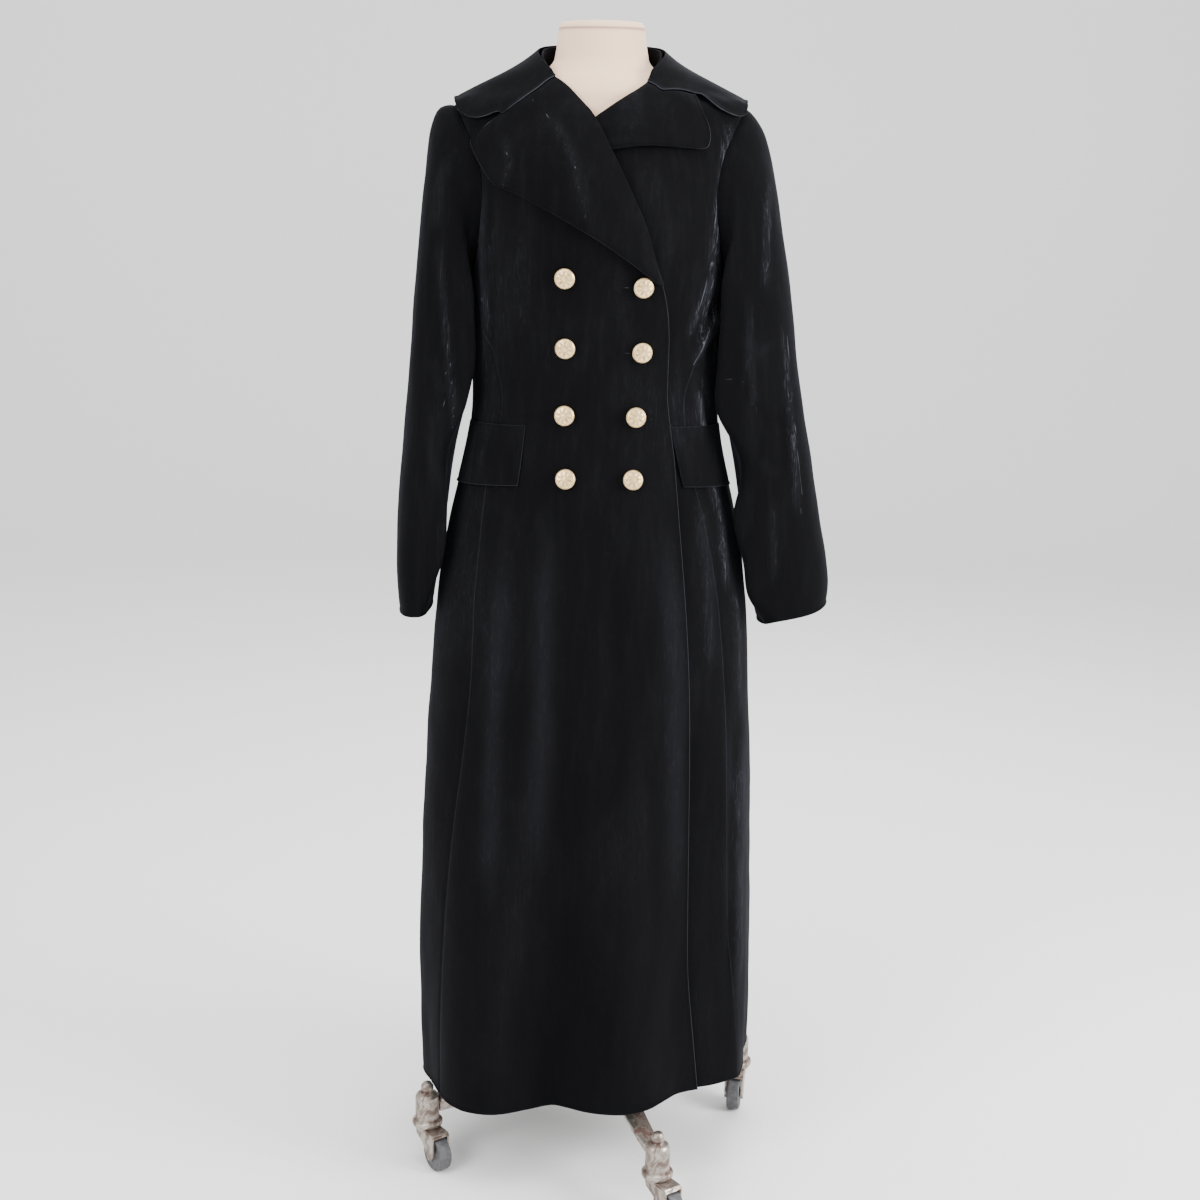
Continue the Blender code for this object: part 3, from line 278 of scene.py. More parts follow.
# Collar: the roll line at each angle, and the place of the fall's outer edge
CollarRow = namedtuple("CollarRow", "roll_angle roll_height across depth height")
COLLAR_HALF = table(
    CollarRow,
    (49, 1.4330, 0.1800, -0.0150, 1.3990),
    (60, 1.4410, 0.1815, 0.0060, 1.4020),
    (74, 1.4500, 0.1745, 0.0300, 1.4000),
    (90, 1.4580, 0.1580, 0.0540, 1.3930),
    (108, 1.4630, 0.1320, 0.0800, 1.3800),
    (126, 1.4660, 0.1000, 0.1010, 1.3660),
    (144, 1.4680, 0.0660, 0.1140, 1.3550),
    (162, 1.4690, 0.0320, 0.1200, 1.3490),
)
COLLAR_BACK = CollarRow(180, 1.4690, 0.0000, 0.1220, 1.3470)
COLLAR_STAND_ANGLE = 62
COLLAR_COLUMNS = 10
COLLAR_ROLL_GAP = 0.0050
COLLAR_BOW = 0.0040

# Pocket flaps
FLAP_TOP = 1.010
FLAP_DROP = 0.075
FLAP_INNER = 0.088
FLAP_EDGE_GAP = 0.0040
FLAP_ANGLE = 82
FLAP_SAG = 0.008
FLAP_SEAM_GAP = 0.0008

# Sleeves: the inner and outer line of the tube seen from the front, from the armhole down,
# its place and half-width from front to back, and how far its front fold swings inwards
SleeveRow = namedtuple("SleeveRow", "inner inner_height outer outer_height depth half_depth swing")
SLEEVE_RIGHT = table(
    SleeveRow,
    (0.1610, 1.1765, 0.1980, 1.3890, 0.0030, 0.0720, 0.001),
    (0.1640, 1.1715, 0.2085, 1.3700, 0.0020, 0.0730, 0.006),
    (0.1670, 1.1640, 0.2140, 1.3390, 0.0005, 0.0735, 0.014),
    (0.1685, 1.1530, 0.2190, 1.2960, -0.0010, 0.0735, 0.025),
    (0.1685, 1.1380, 0.2240, 1.2430, -0.0020, 0.0730, 0.034),
    (0.1675, 1.1130, 0.2305, 1.1800, -0.0035, 0.0720, 0.038),
    (0.1660, 1.0750, 0.2370, 1.1050, -0.0050, 0.0700, 0.040),
    (0.1670, 1.0300, 0.2415, 1.0350, -0.0070, 0.0685, 0.030),
    (0.1810, 0.9680, 0.2470, 0.9700, -0.0090, 0.0665, 0.012),
    (0.1905, 0.9000, 0.2540, 0.9000, -0.0110, 0.0650, 0.026),
    (0.1995, 0.8350, 0.2570, 0.8350, -0.0125, 0.0640, 0.028),
    (0.2075, 0.7850, 0.2552, 0.7850, -0.0135, 0.0630, 0.014),
    (0.2115, 0.7600, 0.2530, 0.7570, -0.0140, 0.0620, 0.006),
)
SLEEVE_LEFT = table(
    SleeveRow,
    (0.1590, 1.1765, 0.1900, 1.3830, 0.0030, 0.0720, 0.001),
    (0.1620, 1.1715, 0.1995, 1.3690, 0.0020, 0.0725, 0.006),
    (0.1650, 1.1640, 0.2090, 1.3430, 0.0005, 0.0725, 0.014),
    (0.1665, 1.1530, 0.2180, 1.3060, -0.0010, 0.0720, 0.028),
    (0.1665, 1.1380, 0.2275, 1.2540, -0.0025, 0.0705, 0.038),
    (0.1655, 1.1130, 0.2385, 1.1880, -0.0045, 0.0680, 0.042),
    (0.1640, 1.0700, 0.2505, 1.1080, -0.0070, 0.0650, 0.047),
    (0.1640, 1.0200, 0.2620, 1.0330, -0.0100, 0.0625, 0.050),
    (0.1760, 0.9600, 0.2735, 0.9650, -0.0130, 0.0605, 0.022),
    (0.1870, 0.8900, 0.2870, 0.8950, -0.0160, 0.0585, 0.050),
    (0.1960, 0.8300, 0.2985, 0.8380, -0.0180, 0.0570, 0.044),
    (0.2045, 0.7800, 0.3025, 0.7980, -0.0195, 0.0560, 0.040),
    (0.2130, 0.7480, 0.3015, 0.7740, -0.0200, 0.0550, 0.015),
)
ARMHOLE_FADE = (0.80, 0.56, 0.34, 0.16, 0.05)
# The swing is greatest this far inside the front of the tube
SWING_LEAN = math.radians(13.0)
SWING_POWER = 6

# Buttons: the places of the four rows
ButtonRow = namedtuple("ButtonRow", "height right_column left_column left_height")
BUTTONS = table(
    ButtonRow,
    (1.193, -0.0392, 0.0522, 1.183),
    (1.108, -0.0384, 0.0525, 1.104),
    (1.024, -0.0387, 0.0468, 1.023),
    (0.946, -0.0367, 0.0445, 0.946),
)

# Buttons: rim from the shank out and up, the dome on it, and the rosette's relief
BUTTON_RIM = (
    (0.0030, 0.0004),
    (0.0030, 0.0027),
    (0.0070, 0.0029),
    (0.0112, 0.0031),
    (0.0121, 0.0035),
    (0.0125, 0.0043),
    (0.0124, 0.0049),
    (0.0119, 0.0056),
    (0.0112, 0.0064),
)
DOME_RADIUS = 0.0112
DOME_RISE = 0.0021
DOME_ROWS = 17
PETALS = 8
PETAL_RISE = 0.00050
BOSS_RISE = 0.00055
RING_RISE = 0.00045
BUTTON_SPIN = 0.35

# Dress form
FORM_BOTTOM = 0.800
NECK_TOP = 1.494
FormRow = namedtuple("FormRow", "height clearance")
FORM_CLEARANCE = table(
    FormRow,
    (0.800, 0.018),
    (0.930, 0.010),
    (1.040, 0.006),
    (1.180, 0.008),
    (1.340, 0.008),
    (1.393, 0.0065),
    (1.412, 0.0040),
    (1.424, 0.005),
    (1.436, 0.010),
    (1.452, 0.0145),
    (1.480, 0.0165),
)
SHOULDER_CONTACT = 0.0007
SHOULDER_FOOT = 1.395
RIDGE_TOP = 1.414
RIDGE_SPREAD = 15.0
NECK_SHOULDER = 1.480
FORM_SIDES = 96
# Painted shade on the form below the neck, hidden in the coat: its top edge at the front and at the
# sides, how far out the sides begin, and the fade
TORSO_SHADE_TOP_FRONT = 1.360
TORSO_SHADE_TOP_SIDE = 1.415
TORSO_SHADE_SIDE = 0.095
TORSO_SHADE_FADE = 0.012

# Stand
POLE_RADIUS = 0.016
POLE_FOOT = 0.2053
POLE_TOP = 0.7997
HUB_TOP = 0.205
HUB_PROFILE = (
    (0.024, 0.112),
    (0.032, 0.118),
    (0.035, 0.124),
    (0.035, 0.172),
    (0.029, 0.182),
    (0.022, 0.190),
    (0.021, HUB_TOP),
)
CASTER_REACH = 0.235
CASTER_TURN = 23
SOCKET_FOOT = 0.0550
SOCKET_PROFILE = (
    (0.0195, SOCKET_FOOT),
    (0.0205, 0.0570),
    (0.0205, 0.0620),
    (0.0160, 0.0645),
    (0.0160, 0.0960),
    (0.0135, 0.1000),
    (0.0070, 0.1025),
    (0.0085, 0.1070),
    (0.0085, 0.1110),
    (0.0055, 0.1155),
)

# Floor with a curve up to a wall behind
FLOOR_FRONT = -9.0
FLOOR_BACK = 3.8
FLOOR_CURVE = 1.4
FLOOR_HALF_WIDTH = 9.0
WALL_TOP = 7.0

# Even sky and soft square lamps, which all face the coat's middle
SKY_STRENGTH = 1.15
LAMP_AIM = Vector((0.0, 0.0, 0.85))
Lamp = namedtuple("Lamp", "name place size power")
LAMPS = table(
    Lamp,
    ("key", (-1.9, -2.2, 2.3), 1.6, 85.0),
    ("side", (2.3, -0.9, 1.6), 1.3, 110.0),
    ("top", (0.0, -0.4, 3.4), 1.8, 60.0),
    ("back", (0.5, 2.0, 2.4), 1.4, 45.0),
)

# Camera: its place from the pole's foot, and the photograph's frame in pixels
CAMERA_PLACE = Vector((0.0, -2.4, 1.35))
CAMERA_TILT = math.radians(76.0)
CAMERA_ROLL = 0.0140
FRAME_PIXELS = 1200.0
FOCAL_PIXELS = 1880.0
SHIFT_PIXELS = (6.0, 11.0)
SENSOR = 36.0


def eased(value):
    """Ease a share from 0 to 1, held at both ends."""
    share = min(max(value, 0.0), 1.0)
    return share * share * (3.0 - 2.0 * share)


def mixed(first, second, share):
    """Mix two numbers or vectors."""
    return first * (1.0 - share) + second * share


def read_row(rows, key, column):
    """Read a column at a height between the rows of a table, on a curve that never overshoots."""
    heights = [row.height for row in rows]
    values = [getattr(row, column) for row in rows]
    if key <= heights[0]:
        return values[0]
    if key >= heights[-1]:
        return values[-1]
    low = max(i for i, height in enumerate(heights) if height <= key)

    def secant(i):
        return (values[i + 1] - values[i]) / (heights[i + 1] - heights[i])

    def slope(i):
        if i == 0:
            return secant(0)
        if i == len(heights) - 1:
            return secant(i - 1)
        before = secant(i - 1)
        after = secant(i)
        if before * after <= 0.0:
            return 0.0
        return 2.0 * before * after / (before + after)

    step = heights[low + 1] - heights[low]
    t = (key - heights[low]) / step
    start = values[low] * (2 * t ** 3 - 3 * t ** 2 + 1)
    end = values[low + 1] * (3 * t ** 2 - 2 * t ** 3)
    start_slope = slope(low) * step * (t ** 3 - 2 * t ** 2 + t)
    end_slope = slope(low + 1) * step * (t ** 3 - t ** 2)
    return start + end + start_slope + end_slope


def ring_radius(angle, height):
    """Distance of the body surface from the pole at an angle from centre front, in degrees."""
    across = math.sin(math.radians(angle))
    along = math.cos(math.radians(angle))
    width = read_row(BODY_RINGS, height, "left" if across > 0 else "right")
    depth = read_row(BODY_RINGS, height, "front" if along > 0 else "back")
    corner = read_row(BODY_RINGS, height, "corner")
    total = (abs(across) / width) ** corner + (abs(along) / depth) ** corner
    return total ** (-1.0 / corner)


def fold_depth(angle, height):
    """How far the skirt's folds stand out at an angle and a height."""
    total = 0.0
    for fold in SKIRT_FOLDS:
        away = (angle - fold.angle + 180.0) % 360.0 - 180.0
        if abs(away) < fold.spread and height < fold.top:
            crest = 0.5 + 0.5 * math.cos(math.pi * away / fold.spread)
            fade = eased((fold.top - height) / (fold.top - HEM))
            total += fold.depth * crest * fade
    return total


def body_point(angle, height):
    """Point of the body surface at an angle and a height."""
    radius = ring_radius(angle, height) + fold_depth(angle, height)
    turn = math.radians(angle)
    return Vector((radius * math.sin(turn), -radius * math.cos(turn), height))


def body_normal(angle, height):
    """Outward direction of the body surface."""
    around = body_point(angle + 0.5, height) - body_point(angle - 0.5, height)
    up = body_point(angle, height + 0.002) - body_point(angle, height - 0.002)
    return around.cross(up).normalized()


def cloth_point(angle, height, lift=0.0):
    """Point at a lift above the body surface."""
    return body_point(angle, height) + body_normal(angle, height) * lift


def angle_at(across, height):
    """Angle on the front of the body whose point lies that far across."""
    width = read_row(BODY_RINGS, height, "left" if across > 0 else "right")
    depth = read_row(BODY_RINGS, height, "front")
    corner = read_row(BODY_RINGS, height, "corner")
    share = min(abs(across) / width, 0.9999)
    forward = depth * (1.0 - share ** corner) ** (1.0 / corner)
    return math.degrees(math.atan2(across, forward))


def across_at(angle, height):
    """How far across the body a point at an angle lies."""
    return ring_radius(angle, height) * math.sin(math.radians(angle))


def hem_height(angle, height):
    """Lower the rows near the hem towards the wearer's right."""
    share = eased((HEM_TILT_TOP - height) / (HEM_TILT_TOP - HEM))
    across = across_at(angle, height)
    return height + HEM_TILT * across * share


def overlap_lift(angle, height):
    """Lift of the overlapping front, which rises over the edge of the one below it."""
    across = across_at(angle, height)
    edge = read_row(LEFT_FRONT_EDGE, height, "across")
    share = eased((across - edge + LIFT_START) / (LIFT_START - LIFT_FULL))
    crossing = eased((height - CROSSING_START) / CROSSING_RISE)
    top_fade = 1.0 - eased((height - LIFT_TOP) / LIFT_TOP_FADE)
    return mixed(OVERLAP_LIFT, CROSSING_LIFT, crossing) * share * top_fade


def no_lift(angle, height):
    """Lift of the front that lies next to the form."""
    return 0.0


def seam_gap(height):
    """Half of the seam gap as an angle at a height, a little over for the turn of the wall."""
    return math.degrees(0.6 * SEAM / read_row(BODY_RINGS, height, "front"))


def armhole_angle(height, front):
    """Angle of the armhole's edge at a height, on the front or the back, for the left side."""
    share = min(max((height - ARM_CENTRE_HEIGHT) / ARM_HALF_HEIGHT, -1.0), 1.0)
    turn = math.acos(share)
    return armhole_place(turn if front else -turn)[0]


def armhole_place(turn):
    """Angle and height on the armhole, left side; turn runs from the shoulder to the front."""
    height = ARM_CENTRE_HEIGHT + ARM_HALF_HEIGHT * math.cos(turn)
    reach = ARM_FRONT if math.sin(turn) > 0 else ARM_BACK
    depth = ARM_CENTRE_DEPTH * abs(math.cos(turn)) - reach * math.sin(turn)
    width = read_row(BODY_RINGS, height, "left")
    thick = read_row(BODY_RINGS, height, "front" if depth < 0 else "back")
    corner = read_row(BODY_RINGS, height, "corner")
    share = min(abs(depth) / thick, 0.9999)
    across = width * (1.0 - share ** corner) ** (1.0 / corner)
    return math.degrees(math.atan2(across, -depth)), height


def seam_angle(height, side, front):
    """Angle of a side seam from centre front, without its sign; it runs into the armhole."""
    column = "back"
    if front:
        column = "front_left" if side > 0 else "front_right"
    plain = abs(read_row(SEAMS, height, column))
    bend = eased((height - WAIST) / (ARM_SEAM_HEIGHT - WAIST))
    return mixed(plain, armhole_angle(ARM_SEAM_HEIGHT, front), bend)


def side_edge(height, side, front):
    """Angle of a front or back panel's outer edge: seam, then armhole, then shoulder seam."""
    step = -seam_gap(height) if front else seam_gap(height)
    if height < ARM_SEAM_HEIGHT - TOLERANCE:
        return side * (seam_angle(height, side, front) + step)
    if height < SHOULDER_POINT:
        return side * armhole_angle(height, front)
    return side * (90.0 + step)


def front_panel(side, columns, edge_rows, lift):
    """Front panel from the side seam to its own front edge."""
    places = []
    for row_height in ROWS:
        line = []
        outer_angle = side_edge(row_height, side, True)
        inner_angle = angle_at(read_row(edge_rows, row_height, "across"), row_height)
        for i in range(columns + 1):
            share = i / columns
            angle = mixed(outer_angle, inner_angle, share)
            height = hem_height(angle, row_height)
            line.append((angle, height, lift(angle, height)))
        places.append(line)
    return grid_of(places)


def back_panel(side, columns):
    """Half of the back, from the side-back seam to the centre-back seam."""
    places = []
    for row_height in ROWS:
        line = []
        outer_angle = side_edge(row_height, side, False)
        inner_angle = side * (180.0 - seam_gap(row_height))
        for i in range(columns + 1):
            angle = mixed(outer_angle, inner_angle, i / columns)
            line.append((angle, hem_height(angle, row_height), 0.0))
        places.append(line)
    return grid_of(places)


def underarm_turns(columns):
    """Turns on the armhole that the side panel's top edge takes, front to back."""
    share = (ARM_SEAM_HEIGHT - ARM_CENTRE_HEIGHT) / ARM_HALF_HEIGHT
    first = math.acos(share)
    last = 2.0 * math.pi - first
    return [mixed(first, last, i / columns) for i in range(columns + 1)]


def side_panel(side, columns):
    """Side panel under the arm, whose top edge is the bottom of the armhole."""
    heights = [height for height in ROWS if height < ARM_SEAM_HEIGHT - TOLERANCE]
    turns = underarm_turns(columns)
    tops = [armhole_place(turn) for turn in turns]
    places = []
    for row_height in heights + [ARM_SEAM_HEIGHT]:
        line = []
        gap = seam_gap(row_height)
        start = seam_angle(row_height, side, True) + gap
        end = seam_angle(row_height, side, False) - gap
        bend = eased((row_height - WAIST) / (ARM_SEAM_HEIGHT - WAIST))
        for i in range(columns + 1):
            across = mixed(start, end, i / columns)
            top_share = (tops[i][0] - tops[0][0]) / (tops[-1][0] - tops[0][0])
            angle = mixed(across, mixed(start, end, top_share), bend)
            height = row_height - (ARM_SEAM_HEIGHT - tops[i][1]) * bend
            line.append((side * angle, hem_height(side * angle, height), 0.0))
        places.append(line)
    return grid_of(places)


def armhole_turns(columns):
    """Turns of all the points of the armhole, from the shoulder down the front and up the back."""
    heights = [height for height in ROWS if ARM_SEAM_HEIGHT < height < SHOULDER_POINT + TOLERANCE]
    front = [math.acos(min((h - ARM_CENTRE_HEIGHT) / ARM_HALF_HEIGHT, 1.0)) for h in heights]
    back = [2.0 * math.pi - turn for turn in front]
    turns = sorted(front) + underarm_turns(columns) + sorted(back)
    return [turn for turn in turns if turn < 2.0 * math.pi - TOLERANCE]


def tube_ring(side, row, turns):
    """Oval ring of a sleeve between its inner and outer line."""
    inner = Vector((side * row.inner, row.depth, row.inner_height))
    outer = Vector((side * row.outer, row.depth, row.outer_height))
    centre = (inner + outer) * 0.5
    reach = (outer - inner) * 0.5
    deep = Vector((0.0, row.half_depth, 0.0))
    ring = []
    for turn in turns:
        front = max(math.sin(turn - SWING_LEAN), 0.0) ** SWING_POWER
        swing = Vector((-side * row.swing * front, 0.0, 0.0))
        ring.append(centre + reach * math.cos(turn) - deep * math.sin(turn) + swing)
    return ring


def sleeve(side, rows, side_columns):
    """Set-in sleeve: an open tube that starts at the armhole and turns down beside the body."""
    turns = armhole_turns(side_columns)
    step = Vector((side * SLEEVE_STEP, 0.0, 0.0))

    def armhole_point(turn):
        angle, height = armhole_place(turn)
        return cloth_point(side * angle, height) + step

    top = armhole_point(0.0)
    foot = armhole_point(math.pi)
    half_depth = 0.5 * (ARM_FRONT + ARM_BACK)
    base = SleeveRow(abs(foot.x), foot.z, abs(top.x), top.z, ARM_CENTRE_DEPTH, half_depth, 0.0)
    first = [armhole_point(turn) for turn in turns]
    bends = [point - oval for point, oval in zip(first, tube_ring(side, base, turns))]
    grid = [first]
    for number, row in enumerate(rows):
        keep = ARMHOLE_FADE[number] if number < len(ARMHOLE_FADE) else 0.0
        ring = tube_ring(side, row, turns)
        grid.append([point + bend * keep for point, bend in zip(ring, bends)])
    if side < 0:
        grid = [list(reversed(line)) for line in grid]
    return grid


def gorge_line(points, columns):
    """Evenly spaced places along a gorge seam."""
    lengths = [0.0]
    for before, after in zip(points, points[1:]):
        step = math.hypot(after.across - before.across, after.height - before.height)
        lengths.append(lengths[-1] + step)
    places = []
    for i in range(columns + 1):
        along = lengths[-1] * i / columns
        low = max(k for k in range(len(points) - 1) if lengths[k] <= along + 1e-9)
        share = (along - lengths[low]) / (lengths[low + 1] - lengths[low])
        across = mixed(points[low].across, points[low + 1].across, share)
        height = mixed(points[low].height, points[low + 1].height, share)
        places.append((across, height))
    return places


def puff(side, across, height, share):
    """Roundness of the turned-back cloth: none at the roll line or under the other front."""
    free = 1.0
    if side > 0:
        edge = read_row(RIGHT_FRONT_EDGE, height, "across")
        free = eased((across - edge) / LAPEL_FREE_WIDTH)
    return LAPEL_PUFF * free * math.sin(math.pi * 0.85 * share) ** 0.8


def lying_lift(side, across, height, share):
    """Lift of the outer face of what lies on a front panel."""
    below = overlap_lift(angle_at(across, height), height) if side < 0 else 0.0
    clearance = mixed(TOUCH, LIE, eased(share * 6.0))
    return below + clearance + WALL + puff(side, across, height, share)


def lapel_heights(rows):
    """Heights of a lapel's rows on its roll line: the panel's own, and the table's first and last."""
    low = rows[0].height
    high = rows[-1].height
    inside = [height for height in ROWS if low + ROW_CLEAR < height < high - ROW_CLEAR]
    return [low] + inside + [high]


def lapel(side, rows, edge_rows, gorge):
    """Turned-back lapel, from the roll line out to its edge."""
    grid = []
    for roll_height in lapel_heights(rows):
        if roll_height == rows[-1].height:
            places = gorge_line(gorge, LAPEL_COLUMNS)
            places = [(across, height - TOUCH) for across, height in places]
        else:
            roll = read_row(edge_rows, roll_height, "across")
            edge = read_row(rows, roll_height, "across")
            edge_height = read_row(rows, roll_height, "edge_height")
            places = []
            for i in range(LAPEL_COLUMNS + 1):
                share = i / LAPEL_COLUMNS
                places.append((mixed(roll, edge, share), mixed(roll_height, edge_height, share)))
        line = []
        for i, (across, height) in enumerate(places):
            lift = lying_lift(side, across, height, i / LAPEL_COLUMNS)
            line.append((angle_at(across, height), height, lift))
        grid.append(line)
    return grid_of(grid)


def collar_front_row(side, gorge, leaf):
    """First row of the collar: along the gorge, then along the leaf's free edge."""
    gorge_columns = COLLAR_COLUMNS - len(leaf)
    places = gorge_line(gorge, gorge_columns)
    places = [(across, height + TOUCH) for across, height in places]
    places += [(point.across, point.height) for point in leaf]
    line = []
    for i, (across, height) in enumerate(places):
        angle = angle_at(across, height)
        share = min(i / gorge_columns, 1.0)
        line.append(cloth_point(angle, height, lying_lift(side, across, height, share)))
    return line


def raised(point, need):
    """Move a point out until it stands at least that far off the body surface."""
    angle = math.degrees(math.atan2(point.x, -point.y))
    nearest = None
    for i in range(61):
        height = point.z - 0.045 + 0.0012 * i
        away = (body_point(angle, height) - point).length
        if nearest is None or away < nearest[0]:
            nearest = (away, height)
    normal = body_normal(angle, nearest[1])
    off = (point - body_point(angle, nearest[1])).dot(normal)
    return point + normal * max(need - off, 0.0)


def collar_row(side, row):
    """A row of the collar from the roll line out over the shoulder."""
    roll = cloth_point(side * row.roll_angle, row.roll_height, COLLAR_ROLL_GAP)
    edge = Vector((side * row.across, row.depth, row.height))
    line = [roll]
    for i in range(1, COLLAR_COLUMNS + 1):
        share = i / COLLAR_COLUMNS
        bow = Vector((0.0, 0.0, COLLAR_BOW * math.sin(math.pi * share)))
        need = mixed(COLLAR_ROLL_GAP, LIE + WALL, share) + COLLAR_BOW * math.sin(math.pi * share)
        line.append(raised(mixed(roll, edge, share) + bow, need))
    return line


def collar_half(side, gorge, leaf):
    """Rows of half the collar, from the gorge and leaf to the shoulder and round to the back."""
    front = collar_front_row(side, gorge, leaf)
    rows = [collar_row(side, row) for row in COLLAR_HALF]
    between = []
    for step in (1, 2):
        share = step / 3.0
        line = []
        for i, (low, high) in enumerate(zip(front, rows[0])):
            need = WALL + mixed(0.0010, LIE + 0.0010, min(i / 4.0, 1.0))
            line.append(raised(mixed(low, high, share), need))
        between.append(line)
    return [front] + between + rows


def collar():
    """Fall of the collar, from the left gorge round the back of the neck to the right gorge."""
    left = collar_half(1, LEFT_GORGE, LEFT_LEAF)
    right = collar_half(-1, RIGHT_GORGE, RIGHT_LEAF)
    grid = left + [collar_row(1, COLLAR_BACK)] + list(reversed(right))
    return grid


def collar_stand():
    """Stand of the collar: an upright band round the back and sides of the neck."""
    steps = 16
    places = []
    half = COLLAR_HALF
    for i in range(steps + 1):
        angle = mixed(COLLAR_STAND_ANGLE, 360.0 - COLLAR_STAND_ANGLE, i / steps)
        near = angle if angle <= 180.0 else 360.0 - angle
        low = max([k for k in range(len(half) - 1) if half[k].roll_angle <= near])
        share = (near - half[low].roll_angle) / (half[low + 1].roll_angle - half[low].roll_angle)
        roll = mixed(half[low].roll_height, half[low + 1].roll_height, min(share, 1.0))
        signed = angle if angle <= 180.0 else angle - 360.0
        places.append([
            (signed, NECKLINE + TOUCH, 0.0),
            (signed, mixed(NECKLINE, roll, 0.5), 0.0),
            (signed, roll - 0.001, 0.0),
        ])
    return grid_of(places)


def flap(side, lift):
    """Pocket flap, from its inner end round towards the side."""
    columns = 6
    rows = 3
    places = []
    for j in range(rows + 1):
        line = []
        inner = FLAP_INNER
        if side > 0:
            middle = FLAP_TOP - FLAP_DROP * (1.0 - j / rows)
            inner = read_row(RIGHT_FRONT_EDGE, middle, "across") + FLAP_EDGE_GAP
        inner_angle = abs(angle_at(inner, FLAP_TOP - 0.5 * FLAP_DROP))
        for i in range(columns + 1):
            share = i / columns
            angle = side * mixed(inner_angle, FLAP_ANGLE, share)
            top = FLAP_TOP - 0.5 * FLAP_SAG * share
            bottom = FLAP_TOP - FLAP_DROP - FLAP_SAG * share
            height = mixed(bottom, top, j / rows)
            clearance = mixed(LIE, FLAP_SEAM_GAP, eased(3.0 * j / rows - 2.0))
            line.append((angle, height, lift(angle, height) + WALL + clearance))
        places.append(line)
    return grid_of(places)


def form_ring(height):
    """Ring of the dress form at a height, inside the coat or clear of it at the neck."""
    clearance = read_row(FORM_CLEARANCE, height, "clearance") + WALL
    shoulder = eased((height - SHOULDER_FOOT) / 0.006) * (1.0 - eased((height - RIDGE_TOP) / 0.008))
    points = []
    for i in range(FORM_SIDES):
        angle = 360.0 * i / FORM_SIDES
        signed = angle if angle <= 180.0 else angle - 360.0
        near_ridge = max(0.0, 1.0 - abs(abs(signed) - 90.0) / RIDGE_SPREAD)
        gap = mixed(clearance, WALL + SHOULDER_CONTACT, near_ridge * shoulder)
        turn = math.radians(signed)
        slope = body_normal(signed, height)
        flat = math.hypot(slope.x, slope.y)
        radius = ring_radius(signed, height) - gap / max(flat, 0.25)
        points.append(Vector((radius * math.sin(turn), -radius * math.cos(turn), height)))
    return points


class CoatSizes(bpy.types.PropertyGroup):
    """Sizes of the cloth and its creases."""

    mesh_step: FloatProperty(
        name="Mesh step", description="Spacing of the cloth's mesh", default=0.0052, unit="LENGTH",
    )
    cloth_thickness: FloatProperty(
        name="Cloth thickness", description="Thickness of the velvet", default=0.0014, unit="LENGTH",
    )
    seam_dip: FloatProperty(
        name="Seam dip", description="How far the cloth sinks at a seam", default=0.0011, unit="LENGTH",
    )
    edge_roll: FloatProperty(
        name="Edge roll", description="How far a turned edge stands up", default=0.0007, unit="LENGTH",
    )
    crumple: FloatProperty(
        name="Crumple", description="Depth of the soft unevenness", default=0.0016, unit="LENGTH",
    )


class CoatColours(bpy.types.PropertyGroup):
    """Colours of the finishes."""

    velvet: FloatVectorProperty(
        name="Velvet", description="Velvet looked at against its pile", default=(0.0018, 0.0018, 0.0023),
        subtype="COLOR", size=3,
    )
    # Pale colour of pressed pile, which every painted highlight on the velvet mixes towards as well
    crushed_and_highlight: FloatVectorProperty(
        name="Crushed pile", description="Velvet where the pile is pressed flat",
        default=(0.098, 0.103, 0.126), subtype="COLOR", size=3,
    )
    gold: FloatVectorProperty(
        name="Antique gold", description="Raised parts of the buttons", default=(1.0, 0.74, 0.38),
        subtype="COLOR", size=3,
    )
    form_cloth: FloatVectorProperty(
        name="Form cloth", description="Knit cover of the dress form", default=(0.88, 0.625, 0.435),
        subtype="COLOR", size=3,
    )
    cast_metal: FloatVectorProperty(
        name="Cast metal", description="Rubbed metal of the stand", default=(0.40, 0.355, 0.31),
        subtype="COLOR", size=3,
    )
    rust: FloatVectorProperty(
        name="Recess", description="Red-brown finish in the stand's recesses",
        default=(0.070, 0.030, 0.021), subtype="COLOR", size=3,
    )
    tyre: FloatVectorProperty(
        name="Wheel", description="Grey of the caster wheels", default=(0.060, 0.060, 0.064),
        subtype="COLOR", size=3,
    )


def sizes():
    """Sizes of this scene."""
    return bpy.context.scene.coat_sizes


def colours():
    """Colours of this scene."""
    return bpy.context.scene.coat_colours


class Value:
    """A socket in an expression: +, - and * on it add Math nodes."""

    def __init__(self, shader, socket):
        self.shader = shader
        self.socket = socket

    def math(self, operation, other=0.0, clamp=False):
        """Math node on this value and another."""
        node = self.shader.node(
            "ShaderNodeMath", {"operation": operation, "use_clamp": clamp}, {0: self, 1: other})
        return Value(self.shader, node.outputs[0])

    def __add__(self, other):
        return self.math("ADD", other)

    def __mul__(self, other):
        return self.math("MULTIPLY", other)

    def __sub__(self, other):
        return self.math("SUBTRACT", other)

    def __rsub__(self, other):
        node = self.shader.node("ShaderNodeMath", {"operation": "SUBTRACT"}, {0: other, 1: self})
        return Value(self.shader, node.outputs[0])

    __radd__ = __add__
    __rmul__ = __mul__

    def clamped(self):
        """Held between 0 and 1."""
        return self.math("ADD", 0.0, clamp=True)

    def size(self):
        """Without its sign."""
        return self.math("ABSOLUTE")

    def below(self, high, low=0.0):
        """1 below low, 0 above high, smooth between."""
        return 1.0 - self.ramped(low, high)

    def ramped(self, low, high):
        """0 below low, 1 above high, smooth between."""
        settings = {"interpolation_type": "SMOOTHSTEP"}
        node = self.shader.node("ShaderNodeMapRange", settings, {0: self, 1: low, 2: high})
        return Value(self.shader, node.outputs[0])


